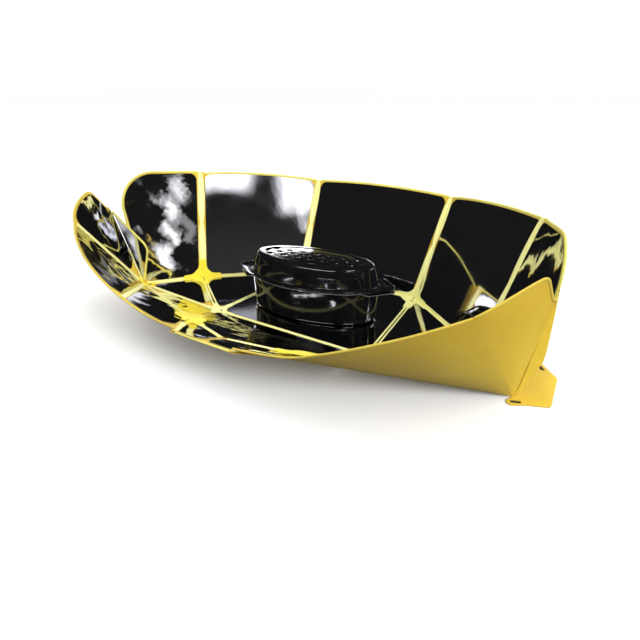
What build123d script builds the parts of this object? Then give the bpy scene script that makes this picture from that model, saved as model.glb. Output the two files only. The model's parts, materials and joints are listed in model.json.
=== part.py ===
"""Folding solar cooker: a bowl of hinged mirror panels on yellow fabric, with an oval roasting pot.

+X is to the right, +Y to the back, +Z up. The origin is on the ground, under the floor sheet and
midway between its two side corners. Every panel is a fabric cover with a mirror plate on its inner
face, and every fold line runs in the mirrors' face, so the panels open away from each other.
"""
import os
from math import cos, radians, sin

from build123d import *

os.makedirs("parts", exist_ok=True)

# Sheet materials
COVER = 1.2             # fabric cover of a wall, lip or wing panel
BASE_COVER = 2.8        # fabric cover and stiffener under the floor mirrors
MIRROR = 2.0            # mirror plate
BORDER = 5.0            # bare fabric between a panel's edge and its mirror
MIRROR_R = 14.0         # corner radius of a mirror plate
HEM_R = 5.0             # corner radius of a cover's free corners
FOLD_GAP = 0.4          # each cover stops this far from its fold line
SEAM_GAP = 2.0          # and this far from a seam that it shares with a panel of another fold
WALL_GAP = 4.0          # and this far from the gusset between two walls
CLEAR = 0.3             # between sewn trim and the cover beside it
FOLD_Z = BASE_COVER + MIRROR

# Sewn trim
BEAD_R = MIRROR - CLEAR
BEAD_END = 18.0         # a bead stops this far from the corners that it joins
STRIP = 1.0             # thickness of the gusset strips between the walls
STRIP_LAP = 4.5         # how far a gusset strip laps over its wall's border
STRIP_END = 14.0
STRIP_TOP = CLEAR + STRIP - MIRROR
RIVET_R = 2.2
RIVET_H = 1.2
RIVET_INSET = 5.5       # from a corner of the floor sheet to the rivet
EYELET_INSET = 16.5     # and from a side corner to the eyelet
EYELET_R = 3.0
EYELET_HOLE_R = 1.5

# Floor sheet, in plan
CORNER_HALF = 408.0
FLANK_HALF = 324.0
FLANK_Y = 101.0
REAR_HALF = 145.0
REAR_Y = 256.0
FRONT_HALF = 169.0
FRONT_Y = -17.0

# Walls: lean from the ground, and the points that set their top edges
BACK_LEAN = 61.3
REAR_LEAN = 64.0
BACK_TOP = (166.0, 365.0, 199.0)
FLANK_TOP = (377.0, 181.0, 227.0)
SIDE_TOP_R = 72.0
SIDE_EDGE = (437.0, -4.0, 182.0)
SIDE_TOP_SHARE = 1.36   # the side wall's front edge runs on past SIDE_EDGE by this factor
WALL_BULGE = 7.0        # how far a wall's top hem arches between its corners
RAIL_SPARE = 40.0       # the twisted side wall is cut from a piece this much longer
RAIL_GAP = 0.5
TWIST_REACH = 60.0

# Front lip
LIP_LEAN = 21.1
LIP_NODE_HALF = 123.0
LIP_NODE_Y = -134.0
LIP_PEAK_Y = -185.0
LIP_HEM_Y = -232.0
LIP_CORNER_HALF = 57.0
LIP_CORNER_Y = -229.0

# Flaps and wings, along the hem from the lip to the rear edge of the petal
FLAP_HEM = (175.0, -224.0, 108.0)
WING_FOLD = (369.0, -158.0, 188.0)
WING_BULGE = 13.0
PETAL_TIP = (427.0, -74.0, 224.0)
PETAL_REAR = (436.0, -28.0, 170.0)
PETAL_BULGE = 8.0
PETAL_TIP_R = 22.0
PETAL_REAR_R = 12.0

# Pleats: the panels that run on inward from the petals, in front of the side walls
PLEAT_CORNER = (396.0, 17.0, 85.0)
PLEAT_CORNER_R = 10.0
PLEAT_START = 0.34      # a pleat begins this share of the way up its edges
PLEAT_MIRROR_R = 4.0

# Ears of folded fabric behind the petals, and the feet under them
EAR = 2.4
EAR_FOLD = 100.0        # the ear's angle from its wall's own plane
EAR_SPREAD = 28.0       # angle of the ear at the corner
EAR_LENGTH = 66.0
FOOT = 1.2
FOOT_SHARE = 0.6        # how far the foot runs along the side wall's fold
FOOT_R = 8.0
FOOT_FRONT = (396.0, -34.0)
FOOT_NOTCH = (432.0, -12.0)
FOOT_TOE = (464.0, 1.0)
FOOT_SIDE = (459.0, 88.0)
FOOT_REAR = (424.0, 128.0)
SLOT_LENGTH = 16.0
SLOT_WIDTH = 7.0
SLOT_FRONT = (416.0, -12.0)
SLOT_FRONT_TURN = 20.0
SLOT_REAR = (430.0, 108.0)
SLOT_REAR_TURN = 125.0

# Oval pot
POT_X = -8.0
POT_Y = 93.0
POT_TURN = 8.0
POT_RIM_LENGTH = 268.0
POT_RIM_WIDTH = 138.0
POT_TAPER = 3.0         # the pan's side comes in this far from its rim to its base
PAN_HEIGHT = 71.0
POT_WALL = 1.6
POT_BASE_R = 9.0
RIM_OUT = 4.0
RIM_THICK = 2.0
POT_EAR_REACH = 38.0    # from the rim to the tip of an ear
POT_EAR_WIDTH = 84.0
LID_SHOULDER = 34.0
LID_SHOULDER_IN = 9.0
LID_HEIGHT = 44.0
LID_TOP_END_IN = 16.0
LID_TOP_SIDE_IN = 23.0
LID_SEAT = 0.3

# A point in the bowl that every mirror faces
EYE_Y = 60.0
EYE_Z = 260.0
INSIDE = Vector(0, EYE_Y, EYE_Z)


def on_fold(x, y, z=0.0):
    """A point given above the fold level of the floor."""
    return Vector(x, y, FOLD_Z + z)


def sided(side, point):
    """The point on the right, or its mirror image on the left."""
    return on_fold(side * point[0], *point[1:])


def panel_plane(a, b, c):
    """The plane of a panel, with its origin at a, x towards b and z into the bowl."""
    normal = (b - a).cross(c - a).normalized()
    if normal.dot(INSIDE - a) < 0:
        normal = -normal
    return Plane(origin=a, x_dir=b - a, z_dir=normal)


def leaning_plane(a, b, lean):
    """The plane that rises outward from the fold line a-b at the given lean."""
    along = (b - a).normalized()
    outward = Vector(along.Y, -along.X, 0)
    if outward.dot(INSIDE - a) > 0:
        outward = -outward
    rise = outward * cos(radians(lean)) + Vector(0, 0, sin(radians(lean)))
    return panel_plane(a, b, a + rise)


def flat(plane, point):
    """The point's place in the plane."""
    local = plane.to_local_coords(point)
    return Vector(local.X, local.Y)


def trimmed(points, gaps):
    """The outline with each edge, from a point to the next, moved in by its gap."""
    centre = sum(points, Vector()) / len(points)
    edges = []
    for i, start in enumerate(points):
        end = points[(i + 1) % len(points)]
        run = (end - start).normalized()
        inward = Vector(-run.Y, run.X)
        if inward.dot(centre - start) < 0:
            inward = -inward
        edges.append((start + inward * gaps[i], run))
    corners = []
    for i, (start, run) in enumerate(edges):
        last_start, last_run = edges[i - 1]
        offset_across = start - last_start
        turn = last_run.X * run.Y - last_run.Y * run.X
        reach = (offset_across.X * run.Y - offset_across.Y * run.X) / turn
        corners.append(last_start + last_run * reach)
    return corners


def outline(plane, corners, rounds, bulges):
    """A face with these corners, their radii, and how far each edge bulges outward."""
    centre = sum(corners, Vector()) / len(corners)
    with BuildSketch(plane) as face:
        with BuildLine():
            for i, start in enumerate(corners):
                end = corners[(i + 1) % len(corners)]
                if bulges[i]:
                    middle = (start + end) / 2
                    run = (end - start).normalized()
                    outward = Vector(-run.Y, run.X)
                    if outward.dot(centre - middle) > 0:
                        outward = -outward
                    crest = middle + outward * bulges[i]
                    ThreePointArc((start.X, start.Y), (crest.X, crest.Y), (end.X, end.Y))
                else:
                    Line((start.X, start.Y), (end.X, end.Y))
        make_face()
        for corner, radius in zip(corners, rounds):
            if radius:
                fillet(face.vertices().sort_by_distance(corner)[0], radius)
    return face.sketch


def plate(name, plane, corners, top, thickness, rounds, bulges=None):
    """A flat plate whose upper face is at top."""
    with BuildPart() as sheet:
        add(outline(plane.offset(top - thickness), corners, rounds, bulges or [0] * len(corners)))
        extrude(amount=thickness, dir=plane.z_dir)
    sheet.part.label = name
    return sheet.part


def bent_plate(name, plane, corners, top, thickness, rounds, rails):
    """A plate that twists from its lower rail to its upper one, each rail a pair of points."""
    cutter = plate("cutter", plane, corners, TWIST_REACH, 2 * TWIST_REACH, rounds)
    with BuildPart() as sheet:
        for start, end in rails:
            along = (end - start).normalized()
            across = (plane.z_dir - along * plane.z_dir.dot(along)).normalized()
            section = Plane(origin=(start + end) / 2, x_dir=along, z_dir=along.cross(across))
            with BuildSketch(section):
                with Locations((0, top - thickness / 2)):
                    Rectangle((end - start).length + 2 * RAIL_SPARE, thickness)
        loft(ruled=True)
        add(cutter, mode=Mode.INTERSECT)
    sheet.part.label = name
    return sheet.part


def mirror_corners(plane, points, gaps):
    return trimmed([flat(plane, p) for p in points], [gap + BORDER for gap in gaps])


def mirror_radii(rounds, least):
    return [max(least, radius - BORDER) for radius in rounds]


def mirror_plate(name, plane, points, gaps, rounds, bulges=None, least=MIRROR_R):
    corners = mirror_corners(plane, points, gaps)
    return plate(name, plane, corners, 0, MIRROR, mirror_radii(rounds, least), bulges)


def panel(name, plane, points, gaps, rounds, bulges=None, least=MIRROR_R):
    """A cover and its mirror, from the panel's corners in order."""
    corners = trimmed([flat(plane, p) for p in points], gaps)
    cover = plate(name + "_cover", plane, corners, -MIRROR, COVER, rounds, bulges)
    mirror = mirror_plate(name + "_mirror", plane, points, gaps, rounds, bulges, least)
    return cover, mirror


def bead(start, end):
    """The sewn bead along a fold line."""
    along = (end - start).normalized()
    with BuildPart() as cord:
        with BuildSketch(Plane(origin=start + along * BEAD_END, z_dir=along)):
            Circle(BEAD_R)
        extrude(amount=(end - start).length - 2 * BEAD_END)
    return cord.part


def strip_corners(plane, base, top, inner):
    """The gusset strip on a wall, from the corner line base-top towards the point inner."""
    foot = flat(plane, base)
    run = (flat(plane, top) - foot).normalized()
    across = Vector(-run.Y, run.X)
    if across.dot(flat(plane, inner) - foot) < 0:
        across = -across
    low = foot + run * STRIP_END
    high = foot + run * (flat(plane, top) - foot).length
    width = across * (WALL_GAP + STRIP_LAP)
    return [low, high, high + width, low + width]


def group(name, pieces):
    """Like pieces that share one node."""
    with BuildPart() as together:
        for piece in pieces:
            add(piece)
    together.part.label = name
    return together.part


def save(piece):
    export_step(piece, f"parts/{piece.label}.step")


SIDES = {"right": 1, "left": -1}
N_CORNER = {name: on_fold(s * CORNER_HALF, 0) for name, s in SIDES.items()}
N_FLANK = {name: on_fold(s * FLANK_HALF, FLANK_Y) for name, s in SIDES.items()}
N_REAR = {name: on_fold(s * REAR_HALF, REAR_Y) for name, s in SIDES.items()}
N_FRONT = {name: on_fold(s * FRONT_HALF, FRONT_Y) for name, s in SIDES.items()}

# Floor sheet
floor_plane = Plane.XY.offset(FOLD_Z)
floor_points = [
    N_FRONT["right"], N_CORNER["right"], N_FLANK["right"], N_REAR["right"],
    N_REAR["left"], N_FLANK["left"], N_CORNER["left"], N_FRONT["left"],
]
floor_corners = trimmed([flat(floor_plane, p) for p in floor_points], [FOLD_GAP] * 8)
save(plate("floor_cover", floor_plane, floor_corners, -MIRROR, BASE_COVER, [0] * 8))

center_points = [N_FRONT["right"], N_REAR["right"], N_REAR["left"], N_FRONT["left"]]
save(mirror_plate("floor_center_mirror", floor_plane, center_points, [0] * 4, [0] * 4))
for name in SIDES:
    rear_triangle = [N_FRONT[name], N_FLANK[name], N_REAR[name]]
    corner_triangle = [N_FRONT[name], N_CORNER[name], N_FLANK[name]]
    triangles = [
        mirror_plate("triangle", floor_plane, points, [0] * 3, [0] * 3)
        for points in (rear_triangle, corner_triangle)
    ]
    save(group(f"floor_{name}_mirrors", triangles))

floor_seams = []
for name in SIDES:
    floor_seams.append(bead(N_FRONT[name], N_REAR[name]))
    floor_seams.append(bead(N_FRONT[name], N_FLANK[name]))
save(group("floor_seam_beads", floor_seams))
save(group("front_fold_bead", [bead(N_FRONT["left"], N_FRONT["right"])]))
save(group("back_fold_beads", [
    bead(N_REAR["left"], N_REAR["right"]),
    bead(N_REAR["right"], N_FLANK["right"]),
    bead(N_REAR["left"], N_FLANK["left"]),
]))
save(group("side_fold_beads", [bead(N_FLANK[name], N_CORNER[name]) for name in SIDES]))
save(group("gusset_fold_beads", [bead(N_FRONT[name], N_CORNER[name]) for name in SIDES]))

# Rivets in the corners of the floor sheet, and an eyelet at each side corner
fasteners = []
for i, corner in enumerate(floor_corners):
    to_last = (floor_corners[i - 1] - corner).normalized()
    to_next = (floor_corners[(i + 1) % len(floor_corners)] - corner).normalized()
    inward = (to_last + to_next).normalized()
    at_side_corner = abs(corner.X) > FLANK_HALF
    place = corner + inward * (EYELET_INSET if at_side_corner else RIVET_INSET)
    with BuildPart() as rivet:
        with BuildSketch(floor_plane.offset(-MIRROR)):
            with Locations((place.X, place.Y)):
                Circle(EYELET_R if at_side_corner else RIVET_R)
                if at_side_corner:
                    Circle(EYELET_HOLE_R, mode=Mode.SUBTRACT)
        extrude(amount=RIVET_H)
    fasteners.append(rivet.part)
save(group("corner_rivets", fasteners))

# Feet: fabric tabs on the ground outside the side corners
for name, side in SIDES.items():
    seam = (N_FLANK[name] - N_CORNER[name]).normalized()
    outward = Vector(side * seam.Y, -side * seam.X)
    inner_front = N_CORNER[name] + outward * FOLD_GAP
    inner_rear = inner_front + seam * (N_FLANK[name] - N_CORNER[name]).length * FOOT_SHARE
    foot_corners = [
        Vector(inner_rear.X, inner_rear.Y),
        Vector(inner_front.X, inner_front.Y),
        *[Vector(side * x, y) for x, y in (FOOT_FRONT, FOOT_NOTCH, FOOT_TOE, FOOT_SIDE, FOOT_REAR)],
    ]
    with BuildPart() as foot:
        with BuildSketch(Plane.XY) as tab:
            with BuildLine():
                Polyline(*[(p.X, p.Y) for p in foot_corners], close=True)
            make_face()
            for corner in foot_corners[2:]:
                fillet(tab.vertices().sort_by_distance(corner)[0], FOOT_R)
            for (x, y), turn in ((SLOT_FRONT, SLOT_FRONT_TURN), (SLOT_REAR, SLOT_REAR_TURN)):
                with Locations(Location((side * x, y), side * turn)):
                    SlotOverall(SLOT_LENGTH, SLOT_WIDTH, mode=Mode.SUBTRACT)
        extrude(amount=FOOT)
    foot.part.label = f"foot_{name}"
    save(foot.part)

# Back wall
back_plane = leaning_plane(N_REAR["right"], N_REAR["left"], BACK_LEAN)
back_top = {name: sided(s, BACK_TOP) for name, s in SIDES.items()}
back_points = [N_REAR["right"], N_REAR["left"], back_top["left"], back_top["right"]]
back_gaps = [FOLD_GAP, WALL_GAP, 0, WALL_GAP]
back_pieces = panel(
    "back_center", back_plane, back_points, back_gaps, [0, 0, HEM_R, HEM_R], [0, 0, WALL_BULGE, 0]
)
for piece in back_pieces:
    save(piece)
back_strips = [
    strip_corners(back_plane, N_REAR[name], back_top[name], on_fold(0, REAR_Y)) for name in SIDES
]
save(group("back_wall_gussets", [
    plate("strip", back_plane, corners, STRIP_TOP, STRIP, [0] * 4) for corners in back_strips
]))

# Rear and side walls, with the ears
for name, side in SIDES.items():
    rear_plane = leaning_plane(N_REAR[name], N_FLANK[name], REAR_LEAN)
    flank_top = sided(side, FLANK_TOP)
    rear_points = [N_REAR[name], N_FLANK[name], flank_top, back_top[name]]
    rear_gaps = [FOLD_GAP, WALL_GAP, 0, WALL_GAP]
    rear_rounds = [0, 0, HEM_R, HEM_R]
    rear_bulges = [0, 0, WALL_BULGE, 0]
    for piece in panel(f"rear_{name}", rear_plane, rear_points, rear_gaps, rear_rounds, rear_bulges):
        save(piece)

    side_edge = sided(side, SIDE_EDGE)
    side_top = N_CORNER[name] + (side_edge - N_CORNER[name]) * SIDE_TOP_SHARE
    side_plane = panel_plane(N_FLANK[name], N_CORNER[name], (flank_top + side_top) / 2)
    rails = [(N_FLANK[name], N_CORNER[name]), (flank_top, side_top)]
    side_points = [N_FLANK[name], N_CORNER[name], side_top, flank_top]
    side_gaps = [FOLD_GAP, CLEAR, RAIL_GAP, WALL_GAP]
    side_rounds = [0, 0, SIDE_TOP_R, HEM_R]
    cover_corners = trimmed([flat(side_plane, p) for p in side_points], side_gaps)
    mirror_outline = mirror_corners(side_plane, side_points, side_gaps)
    strip_outline = strip_corners(side_plane, N_FLANK[name], flank_top, N_CORNER[name])
    for piece_name, corners, top, thickness, rounds in (
        ("cover", cover_corners, -MIRROR, COVER, side_rounds),
        ("mirror", mirror_outline, 0, MIRROR - CLEAR, mirror_radii(side_rounds, MIRROR_R)),
        ("gusset", strip_outline, STRIP_TOP, STRIP, [0] * 4),
    ):
        label = f"side_{name}_{piece_name}"
        save(bent_plate(label, side_plane, corners, top, thickness, rounds, rails))

    ear_base = panel_plane(N_CORNER[name], N_FLANK[name], side_edge)
    axis_level = ear_base.z_dir * (MIRROR + COVER + CLEAR)
    start = N_CORNER[name] - axis_level
    end = side_edge - axis_level
    along = (end - start).normalized()
    out_flat = along.cross(ear_base.z_dir)
    if out_flat.dot(N_FLANK[name] - N_CORNER[name]) > 0:
        out_flat = -out_flat
    fold = radians(EAR_FOLD)
    out = out_flat * cos(fold) - ear_base.z_dir * sin(fold)
    face = ear_base.z_dir * cos(fold) + out_flat * sin(fold)
    ear_plane = Plane(origin=start, x_dir=along, z_dir=face)
    ear_side = 1 if ear_plane.y_dir.dot(out) > 0 else -1
    spread = radians(EAR_SPREAD)
    tip = Vector(EAR_LENGTH * cos(spread), ear_side * EAR_LENGTH * sin(spread))
    ear_outline = [Vector(0, 0), Vector((end - start).length, 0), tip]
    ear_corners = trimmed(ear_outline, [CLEAR, 0, 0])
    save(plate(f"ear_{name}", ear_plane, ear_corners, EAR, EAR, [0, 0, HEM_R]))

# Front lip
lip_plane = leaning_plane(N_FRONT["left"], N_FRONT["right"], LIP_LEAN)


def on_lip(x, y):
    """The lip's point above a place in plan."""
    return on_fold(x, y, (FRONT_Y - y) * sin(radians(LIP_LEAN)) / cos(radians(LIP_LEAN)))


lip_node = {name: on_lip(s * LIP_NODE_HALF, LIP_NODE_Y) for name, s in SIDES.items()}
lip_corner = {name: on_lip(s * LIP_CORNER_HALF, LIP_CORNER_Y) for name, s in SIDES.items()}
lip_peak = on_lip(0, LIP_PEAK_Y)
lip_hem = on_lip(0, LIP_HEM_Y)
lip_points = [
    N_FRONT["left"], N_FRONT["right"], lip_node["right"], lip_corner["right"],
    lip_hem, lip_corner["left"], lip_node["left"],
]
lip_gaps = [FOLD_GAP, SEAM_GAP, SEAM_GAP, 0, 0, SEAM_GAP, SEAM_GAP]
lip_outline = trimmed([flat(lip_plane, p) for p in lip_points], lip_gaps)
save(plate("lip_cover", lip_plane, lip_outline, -MIRROR, COVER, [0] * 7))
lip_center = [N_FRONT["left"], N_FRONT["right"], lip_node["right"], lip_peak, lip_node["left"]]
lip_center_gaps = [FOLD_GAP, SEAM_GAP, 0, 0, SEAM_GAP]
save(mirror_plate("lip_center_mirror", lip_plane, lip_center, lip_center_gaps, [0] * 5))
for name in SIDES:
    lip_side = [lip_node[name], lip_corner[name], lip_hem, lip_peak]
    save(mirror_plate(f"lip_{name}_mirror", lip_plane, lip_side, [SEAM_GAP, 0, 0, 0], [0] * 4))
save(group("lip_beads", [bead(lip_node[name], lip_peak) for name in SIDES]))

# Gussets, flaps, wings and petals, each folded from the one before it
for name, side in SIDES.items():
    corner = N_CORNER[name]
    node = lip_node[name]
    hem = sided(side, FLAP_HEM)
    wing_fold = sided(side, WING_FOLD)
    petal_tip = sided(side, PETAL_TIP)
    petal_rear = sided(side, PETAL_REAR)
    gusset_plane = panel_plane(corner, N_FRONT[name], node)
    flap_plane = panel_plane(corner, node, hem)
    wing_plane = panel_plane(corner, hem, wing_fold)
    petal_plane = panel_plane(corner, wing_fold, petal_tip)
    chain = {
        "gusset": (
            gusset_plane,
            [corner, N_FRONT[name], node],
            [FOLD_GAP, SEAM_GAP, FOLD_GAP],
            [0, 0, 0],
            [0, 0, 0],
        ),
        "flap": (
            flap_plane,
            [corner, node, lip_corner[name], hem],
            [FOLD_GAP, SEAM_GAP, 0, FOLD_GAP],
            [0, 0, 0, 0],
            [0, 0, 0, 0],
        ),
        "wing": (
            wing_plane,
            [corner, hem, wing_fold],
            [FOLD_GAP, 0, FOLD_GAP],
            [0, 0, 0],
            [0, WING_BULGE, 0],
        ),
        "petal": (
            petal_plane,
            [corner, wing_fold, petal_tip, petal_rear],
            [FOLD_GAP, 0, 0, WALL_GAP],
            [0, 0, PETAL_TIP_R, PETAL_REAR_R],
            [0, PETAL_BULGE, 0, 0],
        ),
    }
    for part_name, (plane, points, gaps, rounds, bulges) in chain.items():
        for piece in panel(f"{part_name}_{name}", plane, points, gaps, rounds, bulges):
            save(piece)
    for bead_name, end in (("flap", node), ("wing", hem), ("petal", wing_fold)):
        save(group(f"{bead_name}_{name}_bead", [bead(corner, end)]))

# Pleats, sewn to the side walls
for name, side in SIDES.items():
    corner = N_CORNER[name]
    front = sided(side, PETAL_REAR)
    rear = sided(side, PLEAT_CORNER)
    pleat_plane = panel_plane(corner, front, rear)
    pleat_points = [
        corner + (front - corner) * PLEAT_START,
        front,
        rear,
        corner + (rear - corner) * PLEAT_START,
    ]
    pleat_gaps = [FOLD_GAP, 0, 0, 0]
    pleat_rounds = [0, 0, PLEAT_CORNER_R, 0]
    for piece in panel(
        f"pleat_{name}", pleat_plane, pleat_points, pleat_gaps, pleat_rounds, least=PLEAT_MIRROR_R
    ):
        save(piece)

# Oval pan
pot_along = (cos(radians(POT_TURN)), sin(radians(POT_TURN)), 0)
pot_level = Plane(origin=(POT_X, POT_Y, FOLD_Z), x_dir=pot_along, z_dir=(0, 0, 1))
rim_level = pot_level.offset(PAN_HEIGHT)


def oval_flange(level):
    """The flat rim with a pointed ear at each end, open in the middle."""
    with BuildPart() as flange:
        with BuildSketch(level):
            Ellipse(POT_RIM_LENGTH / 2 + RIM_OUT, POT_RIM_WIDTH / 2 + RIM_OUT)
            with BuildLine():
                Polyline(
                    (POT_RIM_LENGTH / 2 + POT_EAR_REACH, 0),
                    (POT_RIM_LENGTH / 2 - RIM_OUT, POT_EAR_WIDTH / 2),
                    (-POT_RIM_LENGTH / 2 + RIM_OUT, POT_EAR_WIDTH / 2),
                    (-POT_RIM_LENGTH / 2 - POT_EAR_REACH, 0),
                    (-POT_RIM_LENGTH / 2 + RIM_OUT, -POT_EAR_WIDTH / 2),
                    (POT_RIM_LENGTH / 2 - RIM_OUT, -POT_EAR_WIDTH / 2),
                    close=True,
                )
            make_face()
            Ellipse(
                POT_RIM_LENGTH / 2 - POT_WALL,
                POT_RIM_WIDTH / 2 - POT_WALL,
                mode=Mode.SUBTRACT,
            )
        extrude(amount=RIM_THICK)
    return flange.part


def oval_shell(levels):
    """A lofted shell through (plane, length, width) levels, with the wall inside."""
    with BuildPart() as shell:
        for inset, mode in ((0, Mode.ADD), (POT_WALL, Mode.SUBTRACT)):
            for level, length, width in levels:
                with BuildSketch(level):
                    Ellipse(length / 2 - inset, width / 2 - inset)
            loft(ruled=True, mode=mode)
    return shell.part


def in_from_rim(level, end_in, side_in):
    """The oval at this level that lies inside the rim's by these amounts."""
    return level, POT_RIM_LENGTH - 2 * end_in, POT_RIM_WIDTH - 2 * side_in


base_in = POT_TAPER + POT_BASE_R
pan_levels = [
    in_from_rim(pot_level, base_in, base_in),
    in_from_rim(pot_level.offset(POT_BASE_R), POT_TAPER, POT_TAPER),
    in_from_rim(rim_level, 0, 0),
]
with BuildPart() as pan:
    add(oval_shell(pan_levels))
    with BuildSketch(pot_level):
        Ellipse(POT_RIM_LENGTH / 2 - base_in, POT_RIM_WIDTH / 2 - base_in)
    extrude(amount=POT_WALL)
    add(oval_flange(rim_level.offset(-RIM_THICK)))
pan.part.label = "pan"
save(pan.part)

# Lid, seated on the pan's rim
lid_level = rim_level.offset(LID_SEAT)
lid_levels = [
    in_from_rim(lid_level, 0, 0),
    in_from_rim(lid_level.offset(LID_SHOULDER), LID_SHOULDER_IN, LID_SHOULDER_IN),
    in_from_rim(lid_level.offset(LID_HEIGHT), LID_TOP_END_IN, LID_TOP_SIDE_IN),
]
with BuildPart() as lid:
    add(oval_shell(lid_levels))
    with BuildSketch(lid_level.offset(LID_HEIGHT - POT_WALL)):
        Ellipse(POT_RIM_LENGTH / 2 - LID_TOP_END_IN, POT_RIM_WIDTH / 2 - LID_TOP_SIDE_IN)
    extrude(amount=POT_WALL)
    add(oval_flange(lid_level))
lid.part.label = "lid"
save(lid.part)
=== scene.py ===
"""Folding solar cooker: film, fabric, trim and pot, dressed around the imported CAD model.

Lengths are in millimetres and are turned into metres as each mesh is made. Places are those of the
CAD model: +X to the right, +Y to the back, +Z up, with the origin on the ground.
"""
import json
from math import atan2, cos, pi, radians, sin, sqrt, tan

import bmesh
import bpy
from mathutils import Matrix, Vector, noise
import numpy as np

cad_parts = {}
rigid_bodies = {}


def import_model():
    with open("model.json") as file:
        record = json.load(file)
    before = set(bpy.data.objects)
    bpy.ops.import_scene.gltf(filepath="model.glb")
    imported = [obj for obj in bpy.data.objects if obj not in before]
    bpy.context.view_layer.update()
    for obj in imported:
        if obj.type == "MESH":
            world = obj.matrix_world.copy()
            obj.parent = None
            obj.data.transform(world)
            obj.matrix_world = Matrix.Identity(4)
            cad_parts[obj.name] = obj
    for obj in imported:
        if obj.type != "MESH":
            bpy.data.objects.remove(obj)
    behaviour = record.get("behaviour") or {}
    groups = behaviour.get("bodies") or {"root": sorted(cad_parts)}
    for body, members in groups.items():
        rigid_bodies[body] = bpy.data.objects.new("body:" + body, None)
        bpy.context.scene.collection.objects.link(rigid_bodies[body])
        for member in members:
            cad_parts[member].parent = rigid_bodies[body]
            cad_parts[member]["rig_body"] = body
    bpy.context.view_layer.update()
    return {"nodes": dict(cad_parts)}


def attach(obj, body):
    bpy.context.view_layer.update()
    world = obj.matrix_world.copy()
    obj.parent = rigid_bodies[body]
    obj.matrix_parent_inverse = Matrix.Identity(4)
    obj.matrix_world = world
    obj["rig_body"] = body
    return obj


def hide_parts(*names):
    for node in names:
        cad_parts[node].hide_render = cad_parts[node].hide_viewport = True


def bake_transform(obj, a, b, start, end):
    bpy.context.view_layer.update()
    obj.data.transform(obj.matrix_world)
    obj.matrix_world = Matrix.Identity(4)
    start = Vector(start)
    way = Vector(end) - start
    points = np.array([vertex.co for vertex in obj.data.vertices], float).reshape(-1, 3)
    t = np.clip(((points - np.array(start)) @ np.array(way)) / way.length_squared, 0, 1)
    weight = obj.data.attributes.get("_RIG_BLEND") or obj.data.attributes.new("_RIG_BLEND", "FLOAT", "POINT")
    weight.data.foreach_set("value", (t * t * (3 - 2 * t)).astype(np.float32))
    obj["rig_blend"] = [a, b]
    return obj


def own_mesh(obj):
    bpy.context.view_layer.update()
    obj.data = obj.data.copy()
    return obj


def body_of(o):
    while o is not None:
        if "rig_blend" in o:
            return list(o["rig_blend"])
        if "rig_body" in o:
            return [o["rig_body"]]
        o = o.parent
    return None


MM = 0.001
SIDES = {"right": 1, "left": -1}
X, Y, UP = (Vector(way) for way in ((1, 0, 0), (0, 1, 0), (0, 0, 1)))

# Sheet materials, as in the CAD model
COVER = 1.2
BASE_COVER = 2.8
MIRROR = 2.0
FOLD_Z = BASE_COVER + MIRROR

# Corner points, right side, above the fold level
LIP_RISE = tan(radians(21.1))
LIP_FOLD_Y = 17.0         # the lip's fold lies this far in front of the side corners
CORNERS = {
    "corner": (408.0, 0.0, 0.0), "flank": (324.0, 101.0, 0.0), "rear": (145.0, 256.0, 0.0),
    "front": (169.0, -LIP_FOLD_Y, 0.0), "back_top": (166.0, 365.0, 199.0),
    "flank_top": (377.0, 181.0, 227.0), "side_edge": (437.0, -4.0, 182.0),
    "lip_node": (123.0, -134.0, (134.0 - LIP_FOLD_Y) * LIP_RISE),
    "lip_corner": (57.0, -229.0, (229.0 - LIP_FOLD_Y) * LIP_RISE),
    "flap_hem": (175.0, -224.0, 108.0), "wing_fold": (369.0, -158.0, 188.0),
    "petal_tip": (427.0, -74.0, 224.0), "petal_rear": (436.0, -28.0, 170.0),
}
LIP_PEAK = (0.0, -185.0, (185.0 - LIP_FOLD_Y) * LIP_RISE)
LIP_HEM = (0.0, -232.0, (232.0 - LIP_FOLD_Y) * LIP_RISE)
SIDE_TOP_SHARE = 1.36   # the side wall's front edge runs on past side_edge by this factor
BOWL = Vector((0.0, 60.0, 264.8))     # a point over the bowl, which every mirror faces

# Cloth and film
GRID = 9.0              # spacing of the cuts that let a plate bend
EDGE_FADE = 26.0        # waves in a panel die out this far from its folds
FOLD_REACH = 0.7        # a cover's edge lies this near its fold
REAR_COVER_REACH = 6.4  # and a petal's cover and film lie this near the pleat
REAR_FILM_REACH = 9.9
REAR_LEAN = radians(64.0)     # the rear walls' own lean from the ground
HEM_HALF = 2.7          # half a hem's width and thickness, and how far in it sits
HEM_THICK = 1.75
HEM_INSET = 1.7
WALL_DEPTH = MIRROR + COVER
WELT_TOP = 1.4          # a welt's inner face lies this far below its fold
STRIP_HALF = 5.2        # half a fold tape's width, its thickness and its crown
STRIP_THICK = 0.9
STRIP_CROWN = 0.5
STITCH_PITCH = 4.6      # from stitch to stitch, each stitch's length and its half width
STITCH = 2.8
STITCH_R = 0.28
PATCH_STEPS = 56        # points along a patch's edge, and how high its top lies
PATCH_TOP = 0.95

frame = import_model()


def spot(point, side=1):
    """A corner point in the row frame, in millimetres."""
    return Vector((side * point[0], point[1], point[2] + FOLD_Z))


# ---------------------------------------------------------------- materials

def linear(code):
    """An sRGB hex colour as linear RGBA."""
    parts = [int(code[i:i + 2], 16) / 255 for i in (0, 2, 4)]
    return (*[c / 12.92 if c <= 0.04045 else ((c + 0.055) / 1.055) ** 2.4 for c in parts], 1.0)


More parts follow.
